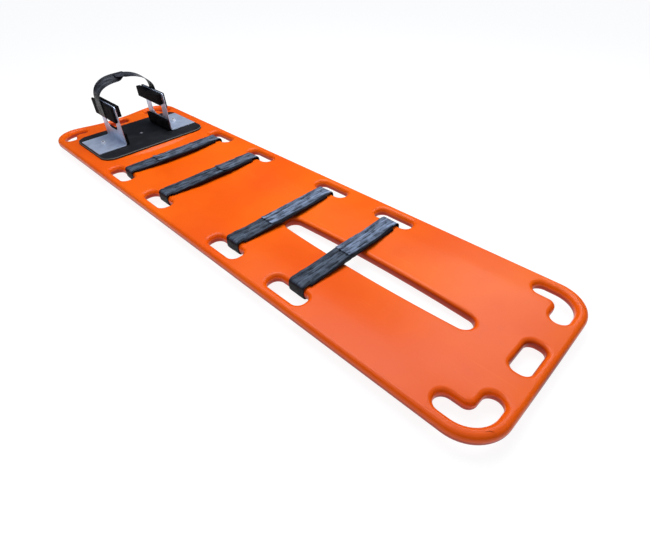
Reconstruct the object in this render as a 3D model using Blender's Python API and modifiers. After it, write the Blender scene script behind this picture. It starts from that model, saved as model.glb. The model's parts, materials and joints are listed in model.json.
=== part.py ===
"""Spine board with a head immobiliser and four body belts.

A hollow moulded board filled with foam, lying on moulded runner segments.  The frame has +Y towards
the head end, X across the board and +Z up; its origin is on the floor under the board's centre.
All sizes are in metres.
"""
import bmesh
import bpy
import math
from mathutils import Matrix, Vector

# ---- board ----------------------------------------------------------------------------------
BOARD_LENGTH = 1.830
BOARD_WIDTH = 0.485
BOARD_THICKNESS = 0.028
CORNER_RADIUS = 0.085
EDGE_RADIUS = 0.010
SHELL_WALL = 0.0035
DISH_DEPTH = 0.008            # the lying surface sinks this far below its long edges
DISH_FLAT_HALF = 0.050        # half width of the flat floor of the dish
HAND_HOLE_TO_DISH = 0.014     # the dish ends this far inside the hand holes

RUNNER_DEPTH = 0.012
RUNNER_WIDTH = 0.032
RUNNER_SPACING = 0.230        # between the two rows' centrelines
RUNNER_END_INSET = 0.190      # from the board's ends to the outermost runner ends
RUNNER_SINK = 0.0025          # how far the runners run up into the shell's skin
RUNNER_CLEARANCE = 0.006      # between a runner's end and a hand hole's end

HAND_HOLE_LENGTH = 0.116
HAND_HOLE_WIDTH = 0.043
HAND_HOLE_CORNER = 0.017
HAND_RAIL = 0.0255            # material between a hand hole and the board's long edge
FOOT_ROW_SETBACKS = (0.522, 0.758)
HEAD_ROW_SETBACKS = (0.730, 0.496)

END_RAIL = 0.025              # material between the end handles and the board's ends
END_HOLE_WIDTH = 0.091
END_HOLE_DEPTH = 0.042
END_HOLE_CORNER = 0.014
HANDLE_WIDTH = 0.040
HANDLE_ARM_ACROSS = 0.0165    # straight stretches of a corner handle past its bend
HANDLE_ARM_FOOT = 0.023
HANDLE_ARM_HEAD = 0.002

SLOT_SETBACK = 0.165          # from the foot end to the centre slot
SLOT_LENGTH = 0.570
SLOT_END_WIDTH = 0.043
SLOT_MID_WIDTH = 0.062

FILL_HOLE_RADIUS = 0.011
FILL_HOLE_Y = 0.300
PLUG_PROUD = 0.0005

# ---- head immobiliser -----------------------------------------------------------------------
PLATE_WIDTH = 0.396
PLATE_LENGTH = 0.260
PLATE_THICKNESS = 0.0065
PLATE_CORNER = 0.042
PLATE_EDGE = 0.0012
PLATE_SETBACK = 0.261         # from the head end to the plate's centre
SEAT_RIM = 0.002              # the moulded seat reaches this far past the plate
SEAT_SIDE_INSET = 0.004       # from the dish's sides to the seat's sides
SEAT_RAMP = 0.010

BRACKET_LENGTH = 0.150        # along the board
BRACKET_SHIFT = 0.006         # brackets sit this far headwards of the plate's centre
BRACKET_SHEET = 0.003
BRACKET_BEND = 0.005
FLANGE_REACH = 0.103          # from the leg's head-side face to the flange's outer edge
LEG_HEIGHT = 0.1375
LEG_CORNER = 0.010
HEAD_SPACE = 0.178            # between the two legs
WINDOW_LENGTH = 0.080
WINDOW_HEIGHT = 0.062
WINDOW_SILL = 0.043           # from the flange's underside to the window
WINDOW_CORNER = 0.022

UPPER_PAD_LENGTH = 0.160
UPPER_PAD_SHIFT = 0.014       # upper pads overhang the leg towards the head end
OUTER_PAD_HEIGHT = 0.056
OUTER_PAD_THICKNESS = 0.010
INNER_PAD_HEIGHT = 0.039
INNER_PAD_THICKNESS = 0.018
LOWER_PAD_LENGTH = 0.146
LOWER_PAD_HEIGHT = 0.040
LOWER_PAD_THICKNESS = 0.012
PAD_TOP_DROP = 0.0015
PAD_BOTTOM_LIFT = 0.002
PAD_ROUND = 0.003

BOLT_RADIUS = 0.004
BOLT_HEAD_RADIUS = 0.009
BOLT_HEAD_HEIGHT = 0.0028
BOLT_REACH = 0.0155           # from the underside of the plate's web to the bolt's end
NUT_ACROSS_FLATS = 0.013
NUT_HEIGHT = 0.0065
WASHER_RADIUS = 0.009
WASHER_THICKNESS = 0.0016
CLAMP_TRAVEL = 0.012          # each way from rest
PLATE_WEB = 0.0031            # plate left above the counter slot
RUN_CLEARANCE = 0.0003
SCREW_RADIUS = 0.003
SCREW_HEAD_RADIUS = 0.0065
SCREW_HEAD_HEIGHT = 0.003
SCREW_BITE = 0.007            # into the board

# ---- belts ----------------------------------------------------------------------------------
BELT_WIDTH = 0.050
BELT_THICKNESS = 0.0020
BELT_BEND = 0.009
BELT_HOOK = 0.0293            # how far each belt end reaches in under the board from its hand hole
BELT_HOOK_DROP = 0.0012       # below the board's underside at the hand holes
FOLD_THICKNESS = 0.0060       # three layers of webbing under the belt's top run
FOLD_REACH_LEFT = 0.155
FOLD_REACH_RIGHT = 0.147
FOLD_OVERHANG = 0.003         # folded webbing stands out this far footwards of the belt
FOREHEAD_WIDTH = 0.048
FOREHEAD_SHIFT = 0.026        # headwards of the brackets' centre
FOREHEAD_RISE = 0.0665        # crown above the legs' tops
FOREHEAD_BEND = 0.0535        # how far in from the upright the arch levels off
FOREHEAD_OVERLAP = 0.040
FOREHEAD_PAD_INSET = 0.005

GAP = 0.0003                  # between touching pieces
OVERSHOOT = 0.002             # cutters run this far past the faces they cut
ARC_STEPS = 3

ROW_NAMES = ("shin", "thigh", "hip", "chest")
BELT_SHIFTS = (-0.008, -0.002, 0.004, -0.010)   # where each belt lies within its hand holes

# ---- levels and places that follow ----------------------------------------------------------
TOP = RUNNER_DEPTH + DISH_DEPTH + BOARD_THICKNESS
MID = TOP - BOARD_THICKNESS / 2
HALF_LENGTH = BOARD_LENGTH / 2
HALF_WIDTH = BOARD_WIDTH / 2
HAND_HOLE_X = HALF_WIDTH - HAND_RAIL - HAND_HOLE_WIDTH / 2
HAND_HOLE_INNER = HAND_HOLE_X - HAND_HOLE_WIDTH / 2
DISH_HALF = HAND_HOLE_INNER - HAND_HOLE_TO_DISH
ROW_Y = tuple(s - HALF_LENGTH for s in FOOT_ROW_SETBACKS) + tuple(HALF_LENGTH - s for s in HEAD_ROW_SETBACKS)
PLATE_Y = HALF_LENGTH - PLATE_SETBACK
PLATE_BOTTOM = TOP + GAP
PLATE_TOP = PLATE_BOTTOM + PLATE_THICKNESS
BRACKET_Y = PLATE_Y + BRACKET_SHIFT
FLANGE_BOTTOM = PLATE_TOP + GAP
FLANGE_TOP = FLANGE_BOTTOM + BRACKET_SHEET
LEG_TOP = FLANGE_BOTTOM + LEG_HEIGHT
LEG_INNER = HEAD_SPACE / 2
LEG_OUTER = LEG_INNER + BRACKET_SHEET
FLANGE_END = LEG_INNER + FLANGE_REACH
CLAMP_X = (LEG_OUTER + FLANGE_END) / 2
PAD_OUTER_FACE = LEG_OUTER + GAP + OUTER_PAD_THICKNESS
BELT_INNER_X = HAND_HOLE_INNER + GAP
BELT_TOP_INNER = TOP + GAP + FOLD_THICKNESS + GAP
BELT_BOTTOM_INNER = TOP - BOARD_THICKNESS - GAP - BELT_HOOK_DROP

PARTS = bpy.data.collections.new("spine_board")
CUTTERS = bpy.data.collections.new("cutters")


# ---- helpers --------------------------------------------------------------------------------
def clear_scene():
    """Remove whatever the opened file holds and link this model's two collections."""
    for old in list(bpy.data.objects):
        bpy.data.objects.remove(old)
    bpy.context.scene.collection.children.link(PARTS)
    bpy.context.scene.collection.children.link(CUTTERS)


def material(name, colour, roughness, metallic=0.0):
    """Return a Principled material."""
    mat = bpy.data.materials.new(name)
    mat.use_nodes = True
    bsdf = mat.node_tree.nodes["Principled BSDF"]
    bsdf.inputs["Base Color"].default_value = (*colour, 1.0)
    bsdf.inputs["Roughness"].default_value = roughness
    bsdf.inputs["Metallic"].default_value = metallic
    return mat


def arc(centre, radius, start, end, steps=ARC_STEPS):
    """Points on an arc, both ends included; angles in degrees."""
    return [
        (centre[0] + radius * math.cos(math.radians(start + (end - start) * i / steps)),
         centre[1] + radius * math.sin(math.radians(start + (end - start) * i / steps)))
        for i in range(steps + 1)
    ]


def rounded_rectangle(centre, half_x, half_y, radius, steps=ARC_STEPS):
    """A rounded rectangle as one loop, anticlockwise."""
    loop = []
    for turn, (side_x, side_y) in enumerate(((1, 1), (-1, 1), (-1, -1), (1, -1))):
        corner = (centre[0] + side_x * (half_x - radius), centre[1] + side_y * (half_y - radius))
        loop += arc(corner, radius, 90 * turn, 90 * turn + 90, steps)
    return loop


def flipped(loop, axis):
    """Mirror a loop about zero on one axis, keeping its direction."""
    return [tuple(-v if i == axis else v for i, v in enumerate(point)) for point in reversed(loop)]


def outline_object(name, loops, thickness, edge=0.0):
    """A flat outline with holes, extruded about its own plane, its edges chamfered."""
    curve = bpy.data.curves.new(name, "CURVE")
    curve.dimensions = "2D"
    curve.fill_mode = "BOTH"
    curve.extrude = thickness / 2 - edge
    curve.bevel_depth = edge
    curve.bevel_resolution = 0
    curve.offset = -edge
    for loop in loops:
        spline = curve.splines.new("POLY")
        spline.points.add(len(loop) - 1)
        for point, (x, y) in zip(spline.points, loop):
            point.co = (x, y, 0.0, 1.0)
        spline.use_cyclic_u = True
    obj = bpy.data.objects.new(name, curve)
    PARTS.objects.link(obj)
    return obj


def as_mesh(obj):
    """Turn a curve object into a welded mesh object of the same name and place."""
    bpy.context.view_layer.update()
    evaluated = obj.evaluated_get(bpy.context.evaluated_depsgraph_get())
    mesh = bpy.data.meshes.new_from_object(evaluated)
    place = obj.matrix_world.copy()
    name = obj.name
    bpy.data.objects.remove(obj)
    bm = bmesh.new()
    bm.from_mesh(mesh)
    bmesh.ops.remove_doubles(bm, verts=bm.verts, dist=0.00001)
    bm.to_mesh(mesh)
    bm.free()
    made = bpy.data.objects.new(name, mesh)
    made.matrix_world = place
    PARTS.objects.link(made)
    return made


def plate(name, loops, bottom, thickness, edge=0.0):
    """A level plate with rounded edges, as a mesh, its underside at the height bottom."""
    obj = outline_object(name, loops, thickness, edge)
    obj.location.z = bottom + thickness / 2
    return as_mesh(obj)


def section_along_y(name, loops, y, length, edge=0.0):
    """A section drawn in X and Z, extruded along Y about the given y, as a mesh."""
    obj = outline_object(name, loops, length, edge)
    obj.rotation_euler.x = math.pi / 2
    obj.location.y = y
    return as_mesh(obj)


def section_along_x(name, loops, x, length, edge=0.0):
    """A section drawn in Y and Z, extruded along X about the given x, as a mesh."""
    obj = outline_object(name, loops, length, edge)
    obj.rotation_euler = (math.pi / 2, 0.0, math.pi / 2)
    obj.location.x = x
    return as_mesh(obj)


def cylinder(name, centre, radius, bottom, top, sides=24):
    """An upright cylinder or prism."""
    bm = bmesh.new()
    bmesh.ops.create_cone(
        bm, cap_ends=True, segments=sides, radius1=radius, radius2=radius, depth=top - bottom)
    mesh = bpy.data.meshes.new(name)
    bm.to_mesh(mesh)
    bm.free()
    obj = bpy.data.objects.new(name, mesh)
    obj.location = (centre[0], centre[1], (bottom + top) / 2)
    PARTS.objects.link(obj)
    return obj


def box(name, low, high):
    """A box between two corners."""
    bm = bmesh.new()
    bmesh.ops.create_cube(bm, size=1.0)
    size = Vector(high) - Vector(low)
    bmesh.ops.scale(bm, vec=size, verts=bm.verts)
    bmesh.ops.translate(bm, vec=(Vector(high) + Vector(low)) / 2, verts=bm.verts)
    mesh = bpy.data.meshes.new(name)
    bm.to_mesh(mesh)
    bm.free()
    obj = bpy.data.objects.new(name, mesh)
    PARTS.objects.link(obj)
    return obj


def combine(target, other, operation, solver="EXACT"):
    """Apply a boolean of another object to the target and keep the other as a hidden cutter."""
    step = target.modifiers.new(operation.lower(), "BOOLEAN")
    step.operation = operation
    step.solver = solver
    step.object = other
    bpy.context.view_layer.update()
    mesh = bpy.data.meshes.new_from_object(target.evaluated_get(bpy.context.evaluated_depsgraph_get()))
    target.modifiers.remove(step)
    target.data = mesh
    PARTS.objects.unlink(other)
    CUTTERS.objects.link(other)
    other.hide_render = True
    other.display_type = "WIRE"


def finish(obj, mat, origin=(0.0, 0.0, 0.0)):
    """Give a piece its material, smooth round faces and an origin at the given point."""
    bpy.context.view_layer.update()
    shift = Matrix.Translation(-Vector(origin)) @ obj.matrix_world
    obj.data.transform(shift)
    obj.matrix_world = Matrix.Translation(Vector(origin))
    obj.data.materials.clear()
    obj.data.materials.append(mat)
    obj.data.shade_smooth()
    obj.data.set_sharp_from_angle(angle=math.radians(35))
    return obj


# ---- board ----------------------------------------------------------------------------------
def slot_loop(grow):
    """The long centre slot: two flat arcs between rounded ends, wider in its middle."""
    foot = SLOT_SETBACK - HALF_LENGTH
    end_radius = SLOT_END_WIDTH / 2
    straight = SLOT_LENGTH / 2 - end_radius
    bulge = (SLOT_MID_WIDTH - SLOT_END_WIDTH) / 2
    side_radius = (straight ** 2 + bulge ** 2) / (2 * bulge)
    swing = math.degrees(math.asin(straight / side_radius))
    middle = foot + SLOT_LENGTH / 2
    side_centre = SLOT_MID_WIDTH / 2 - side_radius
    right = arc((side_centre, middle), side_radius + grow, -swing, swing, 6)
    head_cap = arc((0.0, middle + straight), end_radius + grow, swing, 180 - swing, 5)
    half = right + head_cap[1:-1]
    return half + [(-x, 2 * middle - y) for x, y in half]


def corner_handle(side, end, arm_along, grow):
    """A hand hole bent round one corner of the board; side is +1 or -1 in X, end in Y."""
    inset = END_RAIL + HANDLE_WIDTH / 2
    bend = CORNER_RADIUS - inset
    outer = bend + HANDLE_WIDTH / 2 + grow
    inner = bend - HANDLE_WIDTH / 2 - grow
    cap = HANDLE_WIDTH / 2 + grow
    corner = (HALF_WIDTH - CORNER_RADIUS, HALF_LENGTH - CORNER_RADIUS)
    across_end = (corner[0] - HANDLE_ARM_ACROSS, HALF_LENGTH - inset)
    along_end = (HALF_WIDTH - inset, corner[1] - arm_along)
    loop = arc(along_end, cap, -180, 0, 5) + arc(corner, outer, 0, 90, 5)
    loop += arc(across_end, cap, 90, 270, 5) + arc(corner, inner, 90, 0, 3)
    if side < 0:
        loop = flipped(loop, 0)
    if end < 0:
        loop = flipped(loop, 1)
    return loop


def board_loops(grow):
    """Every outline of the board in plan; grow moves each one into the material."""
    loops = [rounded_rectangle((0.0, 0.0), HALF_WIDTH - grow, HALF_LENGTH - grow, CORNER_RADIUS - grow, 6)]
    for y in ROW_Y:
        for side in (-1, 1):
            loops.append(rounded_rectangle(
                (side * HAND_HOLE_X, y), HAND_HOLE_WIDTH / 2 + grow,
                HAND_HOLE_LENGTH / 2 + grow, HAND_HOLE_CORNER + grow))
    for end, arm in ((-1, HANDLE_ARM_FOOT), (1, HANDLE_ARM_HEAD)):
        loops.append(rounded_rectangle(
            (0.0, end * (HALF_LENGTH - END_RAIL - END_HOLE_DEPTH / 2)), END_HOLE_WIDTH / 2 + grow,
            END_HOLE_DEPTH / 2 + grow, END_HOLE_CORNER + grow))
        loops += [corner_handle(side, end, arm, grow) for side in (-1, 1)]
    loops.append(slot_loop(grow))
    return loops


def sink_dish(obj):
    """Crease the board along four lines and lower its middle, at constant thickness."""
    bm = bmesh.new()
    bm.from_mesh(obj.data)
    for line in (DISH_FLAT_HALF, DISH_HALF):
        for side in (-1, 1):
            bmesh.ops.bisect_plane(
                bm, geom=bm.verts[:] + bm.edges[:] + bm.faces[:], dist=0.00001,
                plane_co=(side * line, 0.0, 0.0), plane_no=(1.0, 0.0, 0.0))
    slope = DISH_DEPTH / (DISH_HALF - DISH_FLAT_HALF)
    for vert in bm.verts:
        past_flat = min(max(abs(vert.co.x) - DISH_FLAT_HALF, 0.0), DISH_HALF - DISH_FLAT_HALF)
        vert.co.z -= DISH_DEPTH - slope * past_flat
    bmesh.ops.triangulate(bm, faces=bm.faces)
    bm.to_mesh(obj.data)
    bm.free()


def board_body(name, inset, edge):
    """The dished board, or a copy of it whose whole surface lies inset into the material."""
    body = plate(name, board_loops(inset), TOP - BOARD_THICKNESS + inset, BOARD_THICKNESS - 2 * inset,
                 edge)
    body.data.transform(body.matrix_world)
    body.matrix_world = Matrix.Identity(4)
    sink_dish(body)
    return body


def runner_spans():
    """Lengthwise stretches between the hand hole rows, clear of the belts wherever they slide."""
    clear = HAND_HOLE_LENGTH / 2 + RUNNER_CLEARANCE
    starts = [RUNNER_END_INSET - HALF_LENGTH] + [y + clear for y in ROW_Y]
    ends = [y - clear for y in ROW_Y] + [HALF_LENGTH - RUNNER_END_INSET]
    return list(zip(starts, ends))


def head_seat():
    """The moulded seat that fills the dish under the head plate, with ramps all round."""
    half_x = DISH_HALF - SEAT_SIDE_INSET
    half_y = PLATE_LENGTH / 2 + SEAT_RIM
    seat = box("head_seat", (-half_x, PLATE_Y - half_y, TOP - DISH_DEPTH - RUNNER_SINK),
               (half_x, PLATE_Y + half_y, TOP))
    for vert in seat.data.vertices:
        if vert.co.z < TOP - DISH_DEPTH / 2:
            vert.co.y += math.copysign(SEAT_RAMP, vert.co.y - PLATE_Y)
    return seat


def make_board(orange):
    """The hollow moulded shell: a board with rounded rims, runners, head seat and a fill hole."""
    shell = board_body("board_shell", 0.0, EDGE_RADIUS)
    runner_top = TOP - BOARD_THICKNESS - DISH_DEPTH
    for side in (-1, 1):
        for start, end in runner_spans():
            loop = rounded_rectangle(
                (side * RUNNER_SPACING / 2, (start + end) / 2), RUNNER_WIDTH / 2,
                (end - start) / 2, RUNNER_WIDTH / 2 - 0.001)
            climb = DISH_DEPTH * max(0.0, (RUNNER_SPACING - RUNNER_WIDTH) / 2 - DISH_FLAT_HALF)
            climb /= DISH_HALF - DISH_FLAT_HALF
            runner = plate("runner", [loop], 0.0, runner_top + climb + RUNNER_SINK)
            combine(shell, runner, "UNION", "MANIFOLD")
    combine(shell, head_seat(), "UNION", "MANIFOLD")
    cavity = board_body("cavity", SHELL_WALL, EDGE_RADIUS - SHELL_WALL)
    combine(shell, cavity, "DIFFERENCE", "MANIFOLD")
    floor = TOP - DISH_DEPTH - BOARD_THICKNESS
    fill = cylinder("fill_bore", (0.0, FILL_HOLE_Y), FILL_HOLE_RADIUS, floor - OVERSHOOT,
                    floor + SHELL_WALL + OVERSHOOT)
    combine(shell, fill, "DIFFERENCE", "MANIFOLD")
    bite = cylinder("screw_hole", (0.0, PLATE_Y), SCREW_RADIUS + GAP, TOP - SCREW_BITE - GAP,
                    TOP + OVERSHOOT, 16)
    combine(shell, bite, "DIFFERENCE", "MANIFOLD")
    return finish(shell, orange)


def make_foam(foam):
    """The foam that fills the shell, a gap inside its walls."""
    inset = SHELL_WALL + GAP
    return finish(board_body("foam_core", inset, EDGE_RADIUS - inset), foam)


def make_fill_plug(orange):
    """The plug that closes the hole through which the foam went in."""
    floor = TOP - DISH_DEPTH - BOARD_THICKNESS
    plug = cylinder("fill_plug", (0.0, FILL_HOLE_Y), FILL_HOLE_RADIUS - GAP, floor - PLUG_PROUD,
                    floor + SHELL_WALL - GAP)
    return finish(plug, orange)


# ---- head immobiliser -----------------------------------------------------------------------
def make_plate(black):
    """The base plate, with a counterbored slot under each bracket and a screw hole."""
    loop = rounded_rectangle((0.0, PLATE_Y), PLATE_WIDTH / 2, PLATE_LENGTH / 2, PLATE_CORNER, 8)
    base = plate("base_plate", [loop], PLATE_BOTTOM, PLATE_THICKNESS, PLATE_EDGE)
    web_bottom = PLATE_TOP - PLATE_WEB
    for side in (-1, 1):
        for radius, low, high in (
            (BOLT_RADIUS, PLATE_BOTTOM - OVERSHOOT, PLATE_TOP + OVERSHOOT),
            (BOLT_HEAD_RADIUS, PLATE_BOTTOM - OVERSHOOT, web_bottom),
        ):
            wide = radius + RUN_CLEARANCE
            track = rounded_rectangle((side * CLAMP_X, BRACKET_Y), wide + CLAMP_TRAVEL, wide, wide * 0.999)
            combine(base, plate("track", [track], low, high - low), "DIFFERENCE")
    hole = cylinder("plate_hole", (0.0, PLATE_Y), SCREW_RADIUS + GAP, PLATE_BOTTOM - OVERSHOOT,
                    PLATE_TOP + OVERSHOOT, 16)
    combine(base, hole, "DIFFERENCE")
    return finish(base, black)


def make_plate_screw(steel):
    """The screw in the middle of the plate, with a low domed head."""
    profile = [
        (0.0, SCREW_HEAD_HEIGHT), (SCREW_HEAD_RADIUS * 0.6, SCREW_HEAD_HEIGHT * 0.85),
        (SCREW_HEAD_RADIUS, SCREW_HEAD_HEIGHT * 0.3), (SCREW_HEAD_RADIUS, 0.0), (SCREW_RADIUS, 0.0),
        (SCREW_RADIUS, -PLATE_THICKNESS - SCREW_BITE), (0.0, -PLATE_THICKNESS - SCREW_BITE)]
    return finish(turned("plate_screw", profile, (0.0, PLATE_Y, PLATE_TOP + GAP), 16), steel)


def turned(name, profile, place, steps):
    """A solid turned about Z from a profile of radius and height, top to bottom."""
    mesh = bpy.data.meshes.new(name)
    mesh.from_pydata([(r, 0.0, z) for r, z in profile], [(i, i + 1) for i in range(len(profile) - 1)], [])
    obj = bpy.data.objects.new(name, mesh)
    PARTS.objects.link(obj)
    screw = obj.modifiers.new("turn", "SCREW")
    screw.axis = "Z"
    screw.steps = steps
    screw.render_steps = steps
    screw.use_merge_vertices = True
    screw.merge_threshold = 0.00001
    bpy.context.view_layer.update()
    solid = bpy.data.meshes.new_from_object(obj.evaluated_get(bpy.context.evaluated_depsgraph_get()))
    obj.modifiers.remove(screw)
    obj.data = solid
    obj.location = place
    return obj


def bracket_side_view():
    """A bracket seen along X: a tall outline with rounded top corners, and its window."""
    foot, head = BRACKET_Y - BRACKET_LENGTH / 2, BRACKET_Y + BRACKET_LENGTH / 2
    low = FLANGE_BOTTOM - OVERSHOOT
    corner_z = LEG_TOP - LEG_CORNER
    outline = [(foot, low), (head, low)]
    outline += arc((head - LEG_CORNER, corner_z), LEG_CORNER, 0, 90)
    outline += arc((foot + LEG_CORNER, corner_z), LEG_CORNER, 90, 180)
    window_z = FLANGE_BOTTOM + WINDOW_SILL + WINDOW_HEIGHT / 2
    window = rounded_rectangle((BRACKET_Y, window_z), WINDOW_LENGTH / 2, WINDOW_HEIGHT / 2, WINDOW_CORNER)
    return [outline, window]


def make_bracket(side, name, steel):
    """A bent sheet bracket: a flange on the plate, a bend and an upright leg with a window."""
    bend_centre = (side * (LEG_OUTER + BRACKET_BEND), FLANGE_TOP + BRACKET_BEND)
    outer = BRACKET_BEND + BRACKET_SHEET
    start, end = (180, 270) if side > 0 else (0, -90)
    section = [(side * LEG_INNER, LEG_TOP)] + arc(bend_centre, outer, start, end)
    section += [(side * FLANGE_END, FLANGE_BOTTOM), (side * FLANGE_END, FLANGE_TOP)]
    section += arc(bend_centre, BRACKET_BEND, end, start) + [(side * LEG_OUTER, LEG_TOP)]
    bracket = section_along_y(name, [section], BRACKET_Y, BRACKET_LENGTH + 2 * OVERSHOOT)
    width = FLANGE_REACH + 2 * OVERSHOOT
    side_view = section_along_x("side_view", bracket_side_view(), side * (LEG_INNER + FLANGE_END) / 2, width)
    combine(bracket, side_view, "INTERSECT")
    hole = cylinder("clamp_hole", (side * CLAMP_X, BRACKET_Y), BOLT_RADIUS + RUN_CLEARANCE,
                    FLANGE_BOTTOM - OVERSHOOT, FLANGE_TOP + OVERSHOOT, 16)
    combine(bracket, hole, "DIFFERENCE")
    return finish(bracket, steel, (side * CLAMP_X, BRACKET_Y, FLANGE_BOTTOM))


def make_clamp(side, suffix, steel):
    """The clamp of one bracket: a bolt in the plate's slot, a washer and a nut on the flange."""
    axis = (side * CLAMP_X, BRACKET_Y)
    origin = (*axis, FLANGE_BOTTOM)
    web_bottom = PLATE_TOP - PLATE_WEB
    head_top = web_bottom - GAP
    profile = [
        (0.0, web_bottom + BOLT_REACH), (BOLT_RADIUS * 0.8, web_bottom + BOLT_REACH),
        (BOLT_RADIUS, web_bottom + BOLT_REACH - 0.001), (BOLT_RADIUS, head_top),
        (BOLT_HEAD_RADIUS, head_top), (BOLT_HEAD_RADIUS, head_top - BOLT_HEAD_HEIGHT),
        (0.0, head_top - BOLT_HEAD_HEIGHT)]
    finish(turned("clamp_bolt_" + suffix, profile, (*axis, 0.0), 16), steel, origin)
    hole = BOLT_RADIUS + GAP
    washer_bottom = FLANGE_TOP + GAP
    washer = plate("clamp_washer_" + suffix, [circle(axis, WASHER_RADIUS, 20), circle(axis, hole, 16)],
                   washer_bottom, WASHER_THICKNESS)
    finish(washer, steel, origin)
    corners = NUT_ACROSS_FLATS / math.sqrt(3)
    nut = plate("clamp_nut_" + suffix, [circle(axis, corners, 6), circle(axis, hole, 16)],
                washer_bottom + WASHER_THICKNESS + GAP, NUT_HEIGHT)
    finish(nut, steel, origin)


def circle(centre, radius, sides):
    """A round or regular loop."""
    return arc(centre, radius, 0, 360 - 360 / sides, sides - 1)


def make_pads(side, suffix, foam_black):
    """The three foam pads of one bracket: outer and inner upper pads and an inner lower pad."""
    upper_top = LEG_TOP - PAD_TOP_DROP
    lower_bottom = PLATE_TOP + PAD_BOTTOM_LIFT
    head_face = LEG_INNER - GAP
    rows = (
        ("outer_pad_", LEG_OUTER + GAP, PAD_OUTER_FACE, upper_top - OUTER_PAD_HEIGHT, upper_top,
         UPPER_PAD_LENGTH, UPPER_PAD_SHIFT),
        ("inner_pad_", head_face - INNER_PAD_THICKNESS, head_face, upper_top - INNER_PAD_HEIGHT, upper_top,
         UPPER_PAD_LENGTH, UPPER_PAD_SHIFT),
        ("lower_pad_", head_face - LOWER_PAD_THICKNESS, head_face, lower_bottom,
         lower_bottom + LOWER_PAD_HEIGHT, LOWER_PAD_LENGTH, 0.0),
    )
    for label, near, far, low, high, length, shift in rows:
        loop = rounded_rectangle((side * (near + far) / 2, (low + high) / 2), (far - near) / 2,
                                 (high - low) / 2, PAD_ROUND, 2)
        pad = section_along_y(label + suffix, [loop], BRACKET_Y + shift, length, PAD_ROUND / 2)
        finish(pad, foam_black, (side * CLAMP_X, BRACKET_Y, FLANGE_BOTTOM))


def ribbon(path, thickness):
    """A loop round a path, half the thickness to each side; the path's ends are cut square."""
    left, right = [], []
    for i, here in enumerate(path):
        before = path[max(i - 1, 0)]
        after = path[min(i + 1, len(path) - 1)]
        along = Vector((after[0] - before[0], after[1] - before[1])).normalized()
        across = Vector((-along.y, along.x)) * thickness / 2
        left.append((here[0] + across.x, here[1] + across.y))
        right.append((here[0] - across.x, here[1] - across.y))
    return left + right[::-1]


def make_forehead_strap(side, suffix, webbing):
    """One half of the forehead strap, from its bracket's outer pad to the overlap at the crown."""
    lift = 0.0 if side > 0 else BELT_THICKNESS + GAP
    x_up = PAD_OUTER_FACE + GAP + BELT_THICKNESS / 2
    crown = LEG_TOP + FOREHEAD_RISE + lift
    pad_bottom = LEG_TOP - PAD_TOP_DROP - OUTER_PAD_HEIGHT
    quarter = arc((0.0, 0.0), 1.0, 0, 90, 8)
    path = [(x_up, pad_bottom + FOREHEAD_PAD_INSET)]
    path += [(x_up - FOREHEAD_BEND * (1 - c), LEG_TOP + (crown - LEG_TOP) * s) for c, s in quarter]
    path.append((-FOREHEAD_OVERLAP / 2, crown))
    path = [(side * x, z) for x, z in path]
    strap = section_along_y("forehead_strap_" + suffix, [ribbon(path, BELT_THICKNESS)],
                            BRACKET_Y + FOREHEAD_SHIFT, FOREHEAD_WIDTH)
    finish(strap, webbing, (side * CLAMP_X, BRACKET_Y, FLANGE_BOTTOM))


# ---- belts ----------------------------------------------------------------------------------
def belt_path():
    """The belt's centreline: hooked under the board, up through a hand hole, across, down and under."""
    radius = BELT_BEND + BELT_THICKNESS / 2
    side = BELT_INNER_X + BELT_THICKNESS / 2 - radius
    low = BELT_BOTTOM_INNER - BELT_THICKNESS / 2 + radius
    high = BELT_TOP_INNER + BELT_THICKNESS / 2 - radius
    right = [(HAND_HOLE_INNER - BELT_HOOK, low - radius)]
    right += arc((side, low), radius, -90, 0) + arc((side, high), radius, 0, 90)
    return right + [(-x, z) for x, z in reversed(right)]


def make_belts(webbing):
    """Four body belts round the board through their hand holes, with folded webbing on top."""
    for name, row_y, shift in zip(ROW_NAMES, ROW_Y, BELT_SHIFTS):
        y = row_y + shift
        belt = section_along_y(name + "_belt", [ribbon(belt_path(), BELT_THICKNESS)], y, BELT_WIDTH)
        finish(belt, webbing, (0.0, y, TOP))
        middle = (FOLD_REACH_RIGHT - FOLD_REACH_LEFT) / 2
        reach = (FOLD_REACH_RIGHT + FOLD_REACH_LEFT) / 2
        loop = rounded_rectangle((middle, TOP + GAP + FOLD_THICKNESS / 2), reach, FOLD_THICKNESS / 2,
                                 FOLD_THICKNESS * 0.499)
        fold = section_along_y(name + "_belt_fold", [loop], y - FOLD_OVERHANG, BELT_WIDTH)
        finish(fold, webbing, (0.0, y, TOP))


def main():
    """Build every piece."""
    clear_scene()
    orange = material("orange_shell", (0.95, 0.14, 0.005), 0.35)
    foam = material("cream_foam", (0.75, 0.68, 0.45), 0.9)
    black = material("black_plate", (0.012, 0.012, 0.015), 0.45)
    steel = material("zinc_sheet", (0.55, 0.60, 0.70), 0.35, 0.9)
    foam_black = material("black_foam", (0.015, 0.015, 0.018), 0.85)
    webbing = material("black_webbing", (0.03, 0.035, 0.045), 0.7)
    make_board(orange)
    make_foam(foam)
    make_fill_plug(orange)
    make_plate(black)
    make_plate_screw(steel)
    for side, suffix in ((-1, "left"), (1, "right")):
        make_bracket(side, "bracket_" + suffix, steel)
        make_clamp(side, suffix, steel)
        make_pads(side, suffix, foam_black)
        make_forehead_strap(side, suffix, webbing)
    make_belts(webbing)


main()
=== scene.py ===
"""Looks of a moulded spine board, its head immobiliser and its body belts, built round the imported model.

Everything is in metres, in the model's own frame: +Y towards the head end, +Z up, the floor at zero.
"""

import json
import logging
import math
from dataclasses import dataclass
from enum import Enum
from typing import Callable, Optional, Sequence, Union

import bmesh
import bpy
from mathutils import Matrix, Vector, noise


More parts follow.
